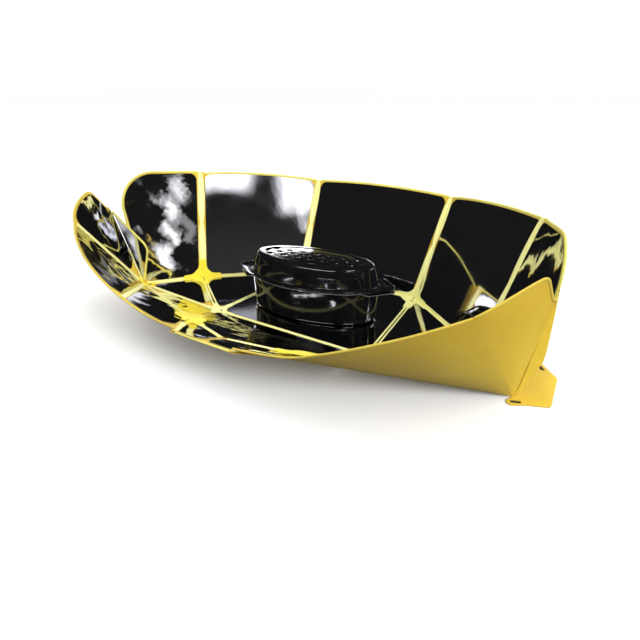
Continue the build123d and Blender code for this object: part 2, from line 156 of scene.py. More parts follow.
class Nodes:
    """A material or world's node tree, with short ways to add and link its nodes."""

    def __init__(self, tree):
        self.tree = tree

    def put(self, socket, value):
        """Links a socket to another node's output, or gives it a value of its own."""
        if isinstance(value, bpy.types.NodeSocket):
            self.tree.links.new(value, socket)
        else:
            socket.default_value = value

    def set(self, node, **inputs):
        for name, value in inputs.items():
            self.put(node.inputs[name.replace("_", " ")], value)
        return node

    def add(self, kind, *values, **inputs):
        node = self.tree.nodes.new(kind)
        for socket, value in zip(node.inputs, values):
            self.put(socket, value)
        return self.set(node, **inputs)

    def math(self, operation, *values):
        node = self.add("ShaderNodeMath", *values)
        node.operation = operation
        return node.outputs[0]

    def dot(self, vector, other):
        node = self.add("ShaderNodeVectorMath", vector, other)
        node.operation = "DOT_PRODUCT"
        return node.outputs["Value"]

    def ramp(self, value, *stops):
        """A colour ramp. Each stop is a place with an sRGB hex colour or a grey level."""
        node = self.add("ShaderNodeValToRGB", value)
        elements = node.color_ramp.elements
        while len(elements) < len(stops):
            elements.new(0.5)
        for element, (place, tone) in zip(elements, stops):
            element.position = place
            element.color = linear(tone) if isinstance(tone, str) else (tone, tone, tone, 1)
        return node.outputs[0]

    def place(self, kind="Object"):
        return self.add("ShaderNodeTexCoord").outputs[kind]

    def scaled(self, coordinate, scale):
        return self.add("ShaderNodeMapping", Vector=coordinate, Scale=scale).outputs[0]

    def noise(self, coordinate, scale, detail=3.0, roughness=0.5):
        node = self.add("ShaderNodeTexNoise", Vector=coordinate, Scale=scale, Detail=detail,
                        Roughness=roughness)
        return node.outputs["Fac"]

    def bump(self, height, strength, distance, **under):
        """A bump, over the Normal in under if there is one."""
        inputs = {"Height": height, "Strength": strength, "Distance": distance, **under}
        return self.add("ShaderNodeBump", **inputs).outputs["Normal"]

    def mix(self, share, first, second):
        return self.add("ShaderNodeMixShader", share, first, second).outputs[0]


def material(name):
    """A new material, its nodes and its Principled shader."""
    made = bpy.data.materials.new(name)
    made.use_nodes = True
    nodes = Nodes(made.node_tree)
    shader = made.node_tree.nodes["Principled BSDF"]
    return made, nodes, shader


def film(name, tint, crinkle, waves, fineness=34.0):
    """Mirror film: large soft waves and, where it is crinkled, small sharp ones."""
    made, nodes, shader = material(name)
    place = nodes.place()
    fine = nodes.add("ShaderNodeTexVoronoi", Vector=place, Scale=fineness * 0.9)
    fine.feature = "SMOOTH_F1"
    wrinkle = nodes.noise(nodes.scaled(place, (1.0, 1.5, 0.6)), fineness, 2.0, 0.45)
    height = nodes.math("ADD", wrinkle, nodes.math("MULTIPLY", fine.outputs["Distance"], 0.5))
    soft = nodes.bump(nodes.noise(place, 9.0, 1.0), waves, 0.012)
    smudge = nodes.noise(place, 14.0, 5.0, 0.7)
    nodes.set(shader, Metallic=1.0,
              Base_Color=nodes.ramp(smudge, (0.3, tint), (0.8, "c9c9cf")),
              Roughness=nodes.ramp(smudge, (0.35, 0.015), (0.75, 0.07)),
              Normal=nodes.bump(height, crinkle, 0.010, Normal=soft))
    return made


def cloth(name, light, dark, weave=1500.0, depth=0.00025, rough=(0.55, 0.75)):
    """Coated woven cloth: a plain weave, slubs, and a slow drift of colour."""
    made, nodes, shader = material(name)
    flat, place = nodes.place("UV"), nodes.place()
    threads = []
    for direction in "XY":
        wave = nodes.add("ShaderNodeTexWave", Vector=nodes.scaled(flat, (weave, weave, 1)),
                         Scale=0.5, Distortion=0.6, Detail=1.0)
        wave.bands_direction = direction
        threads.append(wave.outputs["Fac"])
    woven = nodes.math("MULTIPLY", *threads)
    drift = nodes.noise(place, 7.0, 4.0, 0.55)
    slub = nodes.noise(nodes.scaled(flat, (60.0, 900.0, 1.0)), 1.0, 3.0, 0.6)
    mixed = nodes.math("MULTIPLY_ADD", drift, 0.75, nodes.math("MULTIPLY", slub, 0.25))
    shade = nodes.add("ShaderNodeMix")
    shade.data_type = "RGBA"
    shade.blend_type = "MULTIPLY"
    shade.inputs["Factor"].default_value = 0.22
    nodes.put(shade.inputs[6], nodes.ramp(mixed, (0.30, dark), (0.62, light)))
    nodes.put(shade.inputs[7], nodes.ramp(woven, (0.0, 0.55), (0.6, 1.0)))
    normal = nodes.bump(woven, 0.5, depth)
    nodes.set(shader, Base_Color=shade.outputs[2], Sheen_Weight=0.12, Sheen_Roughness=0.4,
              Roughness=nodes.ramp(drift, (0.3, rough[0]), (0.7, rough[1])),
              Normal=nodes.bump(nodes.noise(place, 45.0, 3.0), 0.25, 0.0012, Normal=normal))
    return made


def enamel(name, colour, speck):
    """Gloss enamel on steel, a little uneven, with fine pits."""
    made, nodes, shader = material(name)
    place = nodes.place()
    uneven = nodes.bump(nodes.noise(place, 28.0, 2.0), 0.08, 0.004)
    nodes.set(shader, Specular_IOR_Level=0.42, Coat_Weight=0.2, Coat_Roughness=0.03,
              Base_Color=nodes.ramp(nodes.noise(place, 20.0, 3.0), (0.3, colour), (0.8, speck)),
              Roughness=nodes.ramp(nodes.noise(place, 60.0, 4.0, 0.7), (0.3, 0.05), (0.8, 0.16)),
              Normal=nodes.bump(nodes.noise(place, 420.0, 2.0), 0.10, 0.0004, Normal=uneven))
    return made


def metal(name, colour, rough):
    """Dull metal with tarnished spots."""
    made, nodes, shader = material(name)
    spots = nodes.noise(nodes.place(), 700.0, 3.0)
    nodes.set(shader, Metallic=1.0,
              Base_Color=nodes.ramp(spots, (0.3, colour), (0.8, "3a2c16")),
              Roughness=nodes.ramp(spots, (0.3, rough), (0.8, rough + 0.2)))
    return made


SMOOTH_FILM = film("smooth_film", "d9dae0", 0.004, 0.012)
WAVY_FILM = film("wavy_film", "dddde2", 0.02, 0.06)
CRINKLED_FILM = film("crinkled_film", "e0dfe2", 0.07, 0.16, 9.0)
CREASED_FILM = film("creased_film", "e0dfe2", 0.06, 0.03, 30.0)
MUSTARD = cloth("mustard_cloth", "e8c63c", "d2ac26")
BRIGHT = cloth("bright_cloth", "fff044", "f6d62e")
PALE = cloth("pale_tape", "fefbb0", "f2ec80", weave=1100.0, depth=0.0002, rough=(0.42, 0.6))
EDGE = cloth("folded_edge", "e2c84c", "c4a636", weave=1100.0, depth=0.0003)
GOLD = cloth("gold_binding", "f0e878", "d0c04c", weave=1100.0, depth=0.0003)
THREAD = cloth("thread", "fff6b0", "e8d878", weave=4000.0, depth=0.0001)
BLACK = enamel("black_enamel", "0b0b0d", "141417")
# Painted highlight: grey enamel that stands for the catch light along the pan's rim
PAINTED_RIM_HIGHLIGHT = enamel("painted_rim_highlight", "4c4e53", "8a8c92")
# Painted shade: a dark olive copy of the cloth that stands for the shade inside the feet's slots
SHADED = cloth("painted_slot_shade", "4a3c10", "2c2408")
BRASS = metal("dull_brass", "a8905a", 0.32)


# ---------------------------------------------------------------- mesh helpers

class Panel:
    """A panel's own directions: along its fold, up its face, and out of its mirror."""

    def __init__(self, start, end, inner):
        self.origin = start
        self.along = (end - start).normalized()
        normal = self.along.cross(inner - start).normalized()
        self.normal = normal if normal.dot(BOWL - start) > 0 else -normal
        self.up = self.normal.cross(self.along)
        if self.up.dot(inner - start) < 0:
            self.up = -self.up

    def local(self, point):
        way = point - self.origin
        return Vector((way.dot(self.along), way.dot(self.up), way.dot(self.normal)))

    def world(self, x, y, z=0.0):
        return self.origin + self.along * x + self.up * y + self.normal * z


def linked(name, mesh, materials):
    """A mesh as an object of the scene, with these materials."""
    for each in materials:
        mesh.materials.append(each)
    made = bpy.data.objects.new(name, mesh)
    bpy.context.scene.collection.objects.link(made)
    return made


def shade(bm, sharp):
    """Smooth faces, with edges that turn by more than sharp degrees kept hard."""
    for face in bm.faces:
        face.smooth = True
    for edge in bm.edges:
        turned = len(edge.link_faces) == 2 and edge.calc_face_angle(0.0) > radians(sharp)
        edge.smooth = not turned


class Shape:
    """Vertices in millimetres, faces, and each face's material and UV, made into one object."""

    def __init__(self):
        self.verts = []
        self.faces = []
        self.slots = []
        self.uvs = []

    def add(self, verts, faces, slot=0, uvs=None):
        first = len(self.verts)
        self.verts += [Vector(v) for v in verts]
        places = uvs or [(v[0], v[1]) for v in verts]
        for face in faces:
            self.faces.append([first + i for i in face])
            self.slots.append(slot)
            self.uvs.append([places[i] for i in face])

    def make(self, name, materials, sharp=35.0):
        mesh = bpy.data.meshes.new(name)
        mesh.from_pydata([v * MM for v in self.verts], [], self.faces)
        layer = mesh.uv_layers.new(name="flat")
        corners = iter(layer.data)
        for polygon, slot, uv in zip(mesh.polygons, self.slots, self.uvs):
            polygon.material_index = slot
            for place in uv:
                next(corners).uv = (place[0] * MM, place[1] * MM)
        made = linked(name, mesh, materials)
        bm = bmesh.new()
        bm.from_mesh(mesh)
        bmesh.ops.recalc_face_normals(bm, faces=bm.faces)
        shade(bm, sharp)
        bm.to_mesh(mesh)
        bm.free()
        return made


def dressed(piece, body, node=None):
    """A piece that rides a body and the CAD node that it stands for."""
    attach(piece, body)
    if node:
        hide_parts(node)
    return piece


def round_turn(count):
    """Angles at even steps round a circle."""
    return [2 * pi * k / count for k in range(count)]


def oval(centre, across, up, count):
    """Points round an ellipse with these two half axes."""
    return [centre + across * cos(a) + up * sin(a) for a in round_turn(count)]


def lengths_along(path):
    """How far along a path each of its points lies."""
    lengths = [0.0]
    for a, b in zip(path, path[1:]):
        lengths.append(lengths[-1] + (b - a).length)
    return lengths


def sweep(shape, rings, slot=0, closed=False, local=None):
    """Joins rings of as many points each into a tube, with its ends filled unless it is closed. Its
    UVs are lengths along and round it, or local places."""
    count = len(rings[0])
    points = [p for ring in rings for p in ring]
    if local:
        uvs = [local(p).xy for p in points]
    else:
        far = lengths_along([ring[0] for ring in rings])
        uvs = [(d, r) for d in far for r in lengths_along(rings[0])]
    faces = []
    for i in range(len(rings) if closed else len(rings) - 1):
        j = (i + 1) % len(rings)
        for k in range(count):
            m = (k + 1) % count
            faces.append((i * count + k, i * count + m, j * count + m, j * count + k))
    if not closed:
        last = (len(rings) - 1) * count
        faces.append(tuple(range(count)))
        faces.append(tuple(last + k for k in reversed(range(count))))
    shape.add(points, faces, slot, uvs)


def stitches(shape, path, up):
    """A row of stitches along a line of points that lie on cloth."""
    lengths = lengths_along(path)
    at = STITCH_PITCH / 2
    k = 0
    while at + STITCH < lengths[-1]:
        while lengths[k + 1] < at:
            k += 1
        run = (path[k + 1] - path[k]).normalized()
        start = path[k] + run * (at - lengths[k])
        side = run.cross(up).normalized()
        rings = []
        for share, lift in ((0.0, -0.3), (0.15, 0.8), (0.5, 1.2), (0.85, 0.8), (1.0, -0.3)):
            centre = start + run * STITCH * share + up * STITCH_R * lift
            size = STITCH_R if 0 < share < 1 else STITCH_R * 0.5
            rings.append(oval(centre, side * size * 1.3, up * size, 6))
        sweep(shape, rings, 1)
        at += STITCH_PITCH


def lifted(bm, panel, lift):
    """Moves each vertex out of the panel's plane by lift(x, y)."""
    for vert in bm.verts:
        place = panel.local(vert.co)
        vert.co += panel.normal * lift(place.x, place.y)


def refined(node, panel):
    """A copy of a CAD plate in millimetres, cut along a grid in its own plane, as a bmesh."""
    bm = bmesh.new()
    bm.from_mesh(frame["nodes"][node].data)
    bmesh.ops.scale(bm, vec=(1000, 1000, 1000), verts=bm.verts)
    bmesh.ops.remove_doubles(bm, verts=bm.verts, dist=0.002)
    bmesh.ops.dissolve_limit(bm, angle_limit=radians(0.5), verts=bm.verts, edges=bm.edges)
    places = [panel.local(v.co) for v in bm.verts]
    for axis, index in ((panel.along, 0), (panel.up, 1)):
        low = min(p[index] for p in places)
        high = max(p[index] for p in places)
        cuts = max(1, round((high - low) / GRID))
        for i in range(1, cuts):
            level = low + (high - low) * i / cuts
            geometry = bm.verts[:] + bm.edges[:] + bm.faces[:]
            bmesh.ops.bisect_plane(
                bm, geom=geometry, dist=0.001, plane_co=panel.origin + axis * level, plane_no=axis
            )
    return bm


def finished(bm, name, panel, look, sharp=32.0):
    """An object from a bmesh in millimetres, with the panel's plane as its UV."""
    layer = bm.loops.layers.uv.new("flat")
    for face in bm.faces:
        for loop in face.loops:
            place = panel.local(loop.vert.co)
            loop[layer].uv = (place.x * MM, place.y * MM)
    shade(bm, sharp)
    bmesh.ops.scale(bm, vec=(MM, MM, MM), verts=bm.verts)
    mesh = bpy.data.meshes.new(name)
    bm.to_mesh(mesh)
    bm.free()
    return linked(name, mesh, [look])


def rim_loop(bm, panel):
    """The outline of a plate's outer face, as bmesh vertices in order."""
    outer = {f for f in bm.faces if f.normal.dot(panel.normal) < -0.85}
    links = {}
    for face in outer:
        for edge in face.edges:
            if sum(other in outer for other in edge.link_faces) == 1:
                a, b = edge.verts
                links.setdefault(a, []).append(b)
                links.setdefault(b, []).append(a)
    start = next(iter(links))
    loop = [start]
    before, here = None, start
    while True:
        ahead = [v for v in links[here] if v != before]
        before, here = here, ahead[0]
        if here == start:
            return loop
        loop.append(here)


def hem_path(loop, start, end, via):
    """The part of an outline from near start to near end that passes nearest to via."""
    def nearest(point):
        return min(range(len(loop)), key=lambda i: (loop[i].co - point).length)
    a, b = nearest(start), nearest(end)
    forward = [loop[(a + i) % len(loop)].co.copy() for i in range((b - a) % len(loop) + 1)]
    backward = [loop[(a - i) % len(loop)].co.copy() for i in range((a - b) % len(loop) + 1)]
    return min(forward, backward, key=lambda path: min((p - via).length for p in path))


def evened(path, step=4.0):
    """The same line with points at an even spacing."""
    lengths = lengths_along(path)
    count = max(2, round(lengths[-1] / step))
    made = []
    k = 0
    for i in range(count + 1):
        at = lengths[-1] * i / count
        while k < len(path) - 2 and lengths[k + 1] < at:
            k += 1
        span = max(lengths[k + 1] - lengths[k], 1e-9)
        made.append(path[k].lerp(path[k + 1], min(1.0, (at - lengths[k]) / span)))
    return made


# ---------------------------------------------------------------- panels

def away(point, lines):
    """How far a point is from the nearest of these lines, each a pair of points."""
    found = []
    for a, b in lines:
        run = b - a
        share = max(0.0, min(1.0, (point - a).dot(run) / run.length_squared))
        found.append((point - a - run * share).length)
    return min(found)


def eased(share):
    share = max(0.0, min(1.0, share))
    return share * share * (3 - 2 * share)


def waves(panel, seed, size, length, lines):
    """Soft waves across a panel, which die out towards its folds."""
    def lift(x, y):
        place = Vector((x / length + seed * 7.3, y / length * 0.8, seed * 3.1))
        fade = eased(away(panel.world(x, y), lines) / EDGE_FADE)
        return size * fade * noise.noise(place) * 1.6
    return lift


def belly(panel, first, last, turns):
    """How far a panel of the side chain swells outward between its folds, both of which start at
    the side corner, so that its cloth runs on smoothly across them."""
    ray_first = panel.local(first)
    ray_last = panel.local(last)
    angle_first = atan2(ray_first.y, ray_first.x)
    span = atan2(ray_last.y, ray_last.x) - angle_first
    slopes = [tan(radians(turn / 2)) for turn in turns]

    def lift(x, y):
        reach = sqrt(x * x + y * y)
        share = max(0.0, min(1.0, (atan2(y, x) - angle_first) / span))
        curve = slopes[0] * share * (1 - share) ** 2 + slopes[1] * share ** 2 * (1 - share)
        return -reach * abs(span) * curve
    return lift


def hem(name, path, outward, normal, look):
    """A rounded binding that wraps the free edge of a cover."""
    rings = []
    for i, point in enumerate(path):
        run = (path[min(i + 1, len(path) - 1)] - path[max(i - 1, 0)]).normalized()
        side = run.cross(normal).normalized()
        if side.dot(outward) < 0:
            side = -side
        centre = point + normal * (COVER / 2) - side * HEM_INSET
        rings.append(oval(centre, side * HEM_HALF, normal * HEM_THICK, 12))
    shape = Shape()
    sweep(shape, rings)
    return shape.make(name, [look], 60)


# Corner points and panels, both sides
SPOTS = {side: {name: spot(point, sign) for name, point in CORNERS.items()}
         for side, sign in SIDES.items()}
LEFT, RIGHT = SPOTS["left"], SPOTS["right"]
LIP_PEAK_SPOT = spot(LIP_PEAK)
LIP_HEM_SPOT = spot(LIP_HEM)
FLOOR_SPOT = spot((0, 90, 0))
BACK_SPOT = (LEFT["back_top"] + RIGHT["back_top"]) / 2

FLOOR = Panel(LEFT["front"], RIGHT["front"], FLOOR_SPOT)
LIP = Panel(LEFT["front"], RIGHT["front"], LIP_HEM_SPOT)
PANELS = {"floor": FLOOR, "back_wall": Panel(LEFT["rear"], RIGHT["rear"], BACK_SPOT), "lip": LIP}
for side, at in SPOTS.items():
    at["side_top"] = at["corner"] + (at["side_edge"] - at["corner"]) * SIDE_TOP_SHARE
    at["side_middle"] = (at["flank_top"] + at["side_top"]) / 2
    for part, names in (
        ("rear_wall", ("rear", "flank", "flank_top")),
        ("side_wall", ("flank", "corner", "side_middle")),
        ("gusset", ("corner", "front", "lip_node")),
        ("flap", ("corner", "lip_node", "flap_hem")),
        ("wing", ("corner", "flap_hem", "wing_fold")),
        ("petal", ("corner", "wing_fold", "petal_tip")),
    ):
        PANELS[f"{part}_{side}"] = Panel(*(at[name] for name in names))


def turn_between(body, other):
    """The angle in degrees between the ways in which two panels face."""
    return PANELS[body].normal.angle(PANELS[other].normal) * 180 / pi


def snapped(bm, panel, end, inside, near):
    """Moves a plate's edge onto the fold from the panel's origin to end, if it lies this near."""
    run = panel.local(end).normalized()
    across = Vector((-run.y, run.x, 0.0))
    if across.dot(panel.local(inside)) > 0:
        across = -across
    for vert in bm.verts:
        place = panel.local(vert.co)
        beyond = place.x * across.x + place.y * across.y
        if beyond > -near and place.length > 12.0:
            vert.co -= (panel.along * across.x + panel.up * across.y) * beyond


def panel_pieces(body, cover_node, lift, look, hem_ends=None, edge=None, joint=None, hem_look=GOLD,
                 mirror_nodes=None):
    """A panel's cover and mirrors, bent alike, and its hem. They run out to edge, a fold given by
    its end and a point inside the panel. Given a joint, each piece gets a mesh of its own."""
    panel = PANELS[body]
    made = []
    bm = refined(cover_node, panel)
    if edge:
        snapped(bm, panel, *edge, REAR_COVER_REACH)
    lifted(bm, panel, lift)
    bm.normal_update()
    if hem_ends:
        start, end, via = hem_ends
        drop = panel.normal * WALL_DEPTH
        path = evened(hem_path(rim_loop(bm, panel), start - drop, end - drop, via))
        centre = sum((v.co for v in bm.verts), Vector()) / len(bm.verts)
        name = cover_node.replace("_cover", "_hem")
        binding = hem(name, path, via - centre, panel.normal, hem_look)
        made.append(dressed(binding, body))
    area = sum(f.calc_area() for f in bm.faces) / 2
    places = [panel.local(v.co) for v in bm.verts]
    cover = finished(bm, cover_node.replace("_cover", "_cloth"), panel, MUSTARD)
    dressed(cover, body, cover_node)
    made.append(cover)
    for node in mirror_nodes or (cover_node.replace("_cover", "_mirror"),):
        bm = refined(node, panel)
        lifted(bm, panel, lift)
        if edge:
            snapped(bm, panel, *edge, REAR_FILM_REACH)
        film_name = node.replace("_mirror", "_film")
        made.append(dressed(finished(bm, film_name, panel, look), body, node))
    if joint:
        for each in made:
            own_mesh(each)


def between(places, *pairs):
    """Lines between pairs of named corner points."""
    return [(places[a], places[b]) for a, b in pairs]


panel_pieces(
    "back_wall", "back_center_cover",
    waves(PANELS["back_wall"], 1, 0.3, 120, [(LEFT["rear"], RIGHT["rear"])] + [
        (at["rear"], at["back_top"]) for at in (LEFT, RIGHT)]),
    SMOOTH_FILM, (LEFT["back_top"], RIGHT["back_top"], BACK_SPOT),
)
panel_pieces(
    "lip", "lip_cover",
    waves(LIP, 2, 0.35, 60, [(LEFT["front"], RIGHT["front"])] + [
        line for at in (LEFT, RIGHT)
        for line in between(at, ("front", "lip_node"), ("lip_node", "lip_corner"))]),
    CREASED_FILM, (LEFT["lip_corner"], RIGHT["lip_corner"], LIP_HEM_SPOT),
    mirror_nodes=["lip_center_mirror", "lip_left_mirror", "lip_right_mirror"],
)


def side_panels(side, sign):
    """One side's rear wall, its side wall and the chain of panels from its gusset to its petal."""
    at = SPOTS[side]
    crumpled = sign < 0     # in the photo the left side's cloth and film are the wrinkled ones
    body = f"rear_wall_{side}"
    lines = between(at, ("rear", "flank"), ("rear", "back_top"), ("flank", "flank_top"))
    panel_pieces(
        body, f"rear_{side}_cover", waves(PANELS[body], 3 + sign, 0.3, 110, lines), SMOOTH_FILM,
        (at["back_top"], at["flank_top"], (at["back_top"] + at["flank_top"]) / 2),
    )
    body = f"side_wall_{side}"
    lines = between(at, ("flank", "corner"), ("flank", "flank_top"), ("corner", "side_top"))
    panel_pieces(
        body, f"side_{side}_cover",
        waves(PANELS[body], 6 + sign, 0.7 if crumpled else 0.4, 46, lines),
        CRINKLED_FILM if crumpled else SMOOTH_FILM,
        (at["flank_top"], at["corner"].lerp(at["side_top"], 0.06), at["side_top"]),
    )
    chain = [f"{part}_{side}" for part in ("gusset", "flap", "wing", "petal")]
    turns = [0.0, *(turn_between(a, b) for a, b in zip(chain, chain[1:])), 0.0]
    for k, (joint, first, last, hem_names) in enumerate((
        ("gusset", "front", "lip_node", None),
        ("flap", "lip_node", "flap_hem", ("lip_corner", "flap_hem")),
        ("lower", "flap_hem", "wing_fold", ("flap_hem", "wing_fold")),
        ("petal", "wing_fold", "petal_rear", ("wing_fold", "petal_rear")),
    )):
        body = chain[k]
        panel = PANELS[body]
        swell = belly(panel, at[first], at[last], turns[k:k + 2])
        ripple = waves(panel, 9 + sign + len(body.split("_")[0]), 0.7 if crumpled else 0.3, 50,
                       between(at, ("corner", first), ("corner", last)))
        hem_ends = edge = None
        if hem_names:
            start, end = (at[name] for name in hem_names)
            hem_ends = (start, end, at["petal_tip"] if joint == "petal" else (start + end) / 2)
        if joint == "petal":
            edge = (at[last], (at[first] + at[last]) / 2)
        panel_pieces(
            body, f"{body}_cover", lambda x, y: swell(x, y) + ripple(x, y), WAVY_FILM, hem_ends,
            edge, f"wing_{side}_{joint}_fold", EDGE,
        )


for side, sign in SIDES.items():
    side_panels(side, sign)


# ---------------------------------------------------------------- strips along the folds

def inward(body, start, end, towards):
    """The direction in a panel's plane, square to a fold line, that points into the panel."""
    along = (end - start).normalized()
    across = PANELS[body].normal.cross(along)
    return across if across.dot(towards - start) > 0 else -across


def trimmed(start, end, first, last):
    """A line's ends, moved in by these lengths."""
    run = (end - start).normalized()
    return start + run * first, end - run * last


def drawn(shape, start, end, ring, steps, width=None, slot=0):
    """A strip with this ring of offsets, drawn from start to end. width(t) scales its reach."""
    rings = []
    for i in range(steps + 1):
        t = i / steps
        scale = width(t) if width else 1.0
        centre = start.lerp(end, t)
        rings.append([centre + across * scale + up for across, up in ring])
    sweep(shape, rings, slot)


def sewn(shape, start, end, steps, up, offset):
    """A row of stitches from start to end, moved by offset(t)."""
    stitches(shape, [start.lerp(end, i / steps) + offset(i / steps) for i in range(steps + 1)], up)


def two_sided(sides, half):
    """The ring of a strip that lies on two panels, crowned on each side of its middle seam. Each
    side is its direction into its panel and its way up."""
    (in_a, up_a), (in_b, up_b) = sides
    middle = (up_a + up_b).normalized()
    crown_a, crown_b = ([
        (across * half, up * -0.35),
        (across * (half - 0.5), up * 0.15),
        (across * (half * 0.72), up * STRIP_CROWN),
        (across * (half * 0.35), up * (STRIP_CROWN * 0.9)),
    ] for across, up in sides)
    return [
        *crown_a, (Vector(), middle * 0.1), *reversed(crown_b),
        (in_b * half, up_b * -STRIP_THICK), (Vector(), middle * -STRIP_THICK),
        (in_a * half, up_a * -STRIP_THICK),
    ]


def both_ways(bodies, start, end, insides):
    """For each of two panels at a fold, the direction into it and its way up."""
    return [(inward(body, start, end, inside), PANELS[body].normal)
            for body, inside in zip(bodies, insides)]


def blended(piece, bodies, line, sides, reach):
    """Lets a piece bend within this reach of the fold between two bodies."""
    middle = (line[0] + line[1]) / 2
    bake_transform(piece, *bodies, *((middle + across * reach) * MM for across, up in sides))
    return piece


def fold_tape(name, bodies, start, end, insides, slope=0.0, trim=(12.0, 12.0), half=STRIP_HALF):
    """A tape over the fold between two bodies, which bends with it."""
    line = trimmed(start, end, *trim)
    sides = [((across - up * slope).normalized(), (up + across * slope).normalized())
             for across, up in both_ways(bodies, start, end, insides)]
    shape = Shape()
    steps = max(8, int((line[1] - line[0]).length / 8))
    drawn(shape, *line, two_sided(sides, half), steps,
          lambda t: 1 - 0.12 * sin(6.3 * t * 3 + len(name)) ** 2)
    for across, up in sides:
        sewn(shape, *line, steps, up, lambda t: across * (half * 0.72) + up * STRIP_CROWN)
    return blended(shape.make(name, [PALE, THREAD], 50), bodies, line, sides, half)


def welt(name, bodies, line, sides, ring, sharp, reach):
    """Mustard cloth with this section along a fold."""
    shape = Shape()
    drawn(shape, *line, ring, max(6, int((line[1] - line[0]).length / 12)))
    blended(shape.make(name, [MUSTARD], sharp), bodies, line, sides, reach)


def fold_welt(name, bodies, start, end, insides, trim=2.0):
    """The cloth that closes the outer side of a fold between the floor and a wall."""
    line = trimmed(start, end, trim, 2.0)
    sides = both_ways(bodies, start, end, insides)
    (in_a, up_a), (in_b, up_b) = sides
    ways = [(-up_a).slerp(-up_b, k / 8) for k in range(9)]
    under, over = FOLD_Z - 0.05, WALL_DEPTH - FOLD_Z
    ring = [(Vector(), way * (under + over * k / 8)) for k, way in enumerate(ways)]
    ring += [(in_b * 4.5, -up_b * (WALL_DEPTH + 0.45)), (in_b * 5.0, -up_b * (WALL_DEPTH - 0.1))]
    ring += [(Vector(), way * WELT_TOP) for way in reversed(ways)]
    welt(name, bodies, line, sides, ring, 40, 3.0)


def chain_welt(name, bodies, start, end, insides, slope):
    """The cloth between two covers of the side chain, which closes up as they flatten."""
    line = trimmed(start, end, 12.0, 1.0)
    sides = both_ways(bodies, start, end, insides)
    (in_a, up_a), (in_b, up_b) = sides
    depth = WALL_DEPTH - 0.04
    edge = FOLD_REACH + 0.1
    low = depth + edge * slope
    ring = [
        in_a * edge - up_a * low, -up_a * depth, -up_b * depth, in_b * edge - up_b * low,
        -up_b * WELT_TOP, -up_a * WELT_TOP,
    ]
    welt(name, bodies, line, sides, [(Vector(), place) for place in ring], 60, 0.2)


def floor_tape(part, suffix, body, start, end, inside, trim=(12.0, 12.0), node=None):
    tape = fold_tape(f"{part}_fold_tape{suffix}", ("floor", body), start, end, (FLOOR_SPOT, inside),
                     trim=trim)
    if node:
        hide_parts(node)


def floor_welt(part, suffix, body, start, end, inside, trim=2.0):
    fold_welt(f"{part}_fold_welt{suffix}", ("floor", body), start, end, (FLOOR_SPOT, inside), trim)


BACK_FOLD = ("back", "", "back_wall", LEFT["rear"], RIGHT["rear"], BACK_SPOT)
LIP_FOLD = ("lip", "", "lip", LEFT["front"], RIGHT["front"], LIP_HEM_SPOT)
floor_tape(*BACK_FOLD, node="back_fold_beads")
floor_tape(*LIP_FOLD, node="front_fold_bead")
floor_welt(*BACK_FOLD)
floor_welt(*LIP_FOLD)
for side, at in SPOTS.items():
    for part, body, start, end, inside, trim, welt_trim in (
        ("rear", "rear_wall", "rear", "flank", "flank_top", (12.0, 12.0), 2.0),
        ("side", "side_wall", "flank", "corner", "side_top", (12.0, 6.0), 2.0),
        ("gusset", "gusset", "corner", "front", "lip_node", (6.0, 12.0), 14.0),
    ):
        fold = (part, f"_{side}", f"{body}_{side}", at[start], at[end], at[inside])
        first = side == "right" and part != "rear"
        floor_tape(*fold, trim, f"{part}_fold_beads" if first else None)
        floor_welt(*fold, welt_trim)
    for first, second, near, end, far in (
        ("gusset", "flap", "front", "lip_node", "flap_hem"),
        ("flap", "wing", "lip_node", "flap_hem", "wing_fold"),
        ("wing", "petal", "flap_hem", "wing_fold", "petal_tip"),
    ):
        bodies = (f"{first}_{side}", f"{second}_{side}")
        slope = tan(radians(turn_between(*bodies) / 2))
        fold = (bodies, at["corner"], at[end], (at[near], at[far]), slope)
        tape = fold_tape(f"{bodies[1]}_fold_tape", *fold, trim=(8.0, 7.0), half=4.6)
        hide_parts(f"{bodies[1]}_bead")
        chain_welt(f"{bodies[1]}_fold_welt", *fold)


# ---------------------------------------------------------------- seams, wall corners and patches

def floor_seam(name, start, end):
    """Two tapes with a dark channel between them, flat on the floor sheet."""
    a, b = trimmed(start, end, 14.0, 14.0)
    run = (end - start).normalized()
    across, up = UP.cross(run), UP
    steps = max(8, int((b - a).length / 10))
    shape = Shape()
    for sign in (1, -1):
        inner, outer = across * 1.7 * sign, across * 4.9 * sign
        middle = inner.lerp(outer, 0.5)
        ring = [
            (inner, up * -0.4), (inner, up * 0.2), (middle, up * 0.55),
            (outer, up * 0.15), (outer, up * -1.2), (inner, up * -1.2),
        ]
        drawn(shape, a, b, ring, steps)
        sewn(shape, a, b, steps, up, lambda t: middle + up * 0.5)
    ring = [(across * 1.9 * sign, up * level)
            for sign, level in ((1, -1.0), (-1, -1.0), (-1, -1.6), (1, -1.6))]
    drawn(shape, a, b, ring, steps, slot=2)
    return dressed(shape.make(name, [PALE, THREAD, SMOOTH_FILM], 50), "floor")


for side, at in SPOTS.items():
    seam = floor_seam(f"long_seam_{side}", at["front"], at["rear"])
    floor_seam(f"corner_seam_{side}", at["front"], at["flank"])
    if side == "right":
        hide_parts("floor_seam_beads")


def pinched(low, t):
    """A tape's width along a wall corner: narrow at its ends and its middle."""
    return low + (1 - low) * abs(sin(2 * pi * t)) ** 0.7


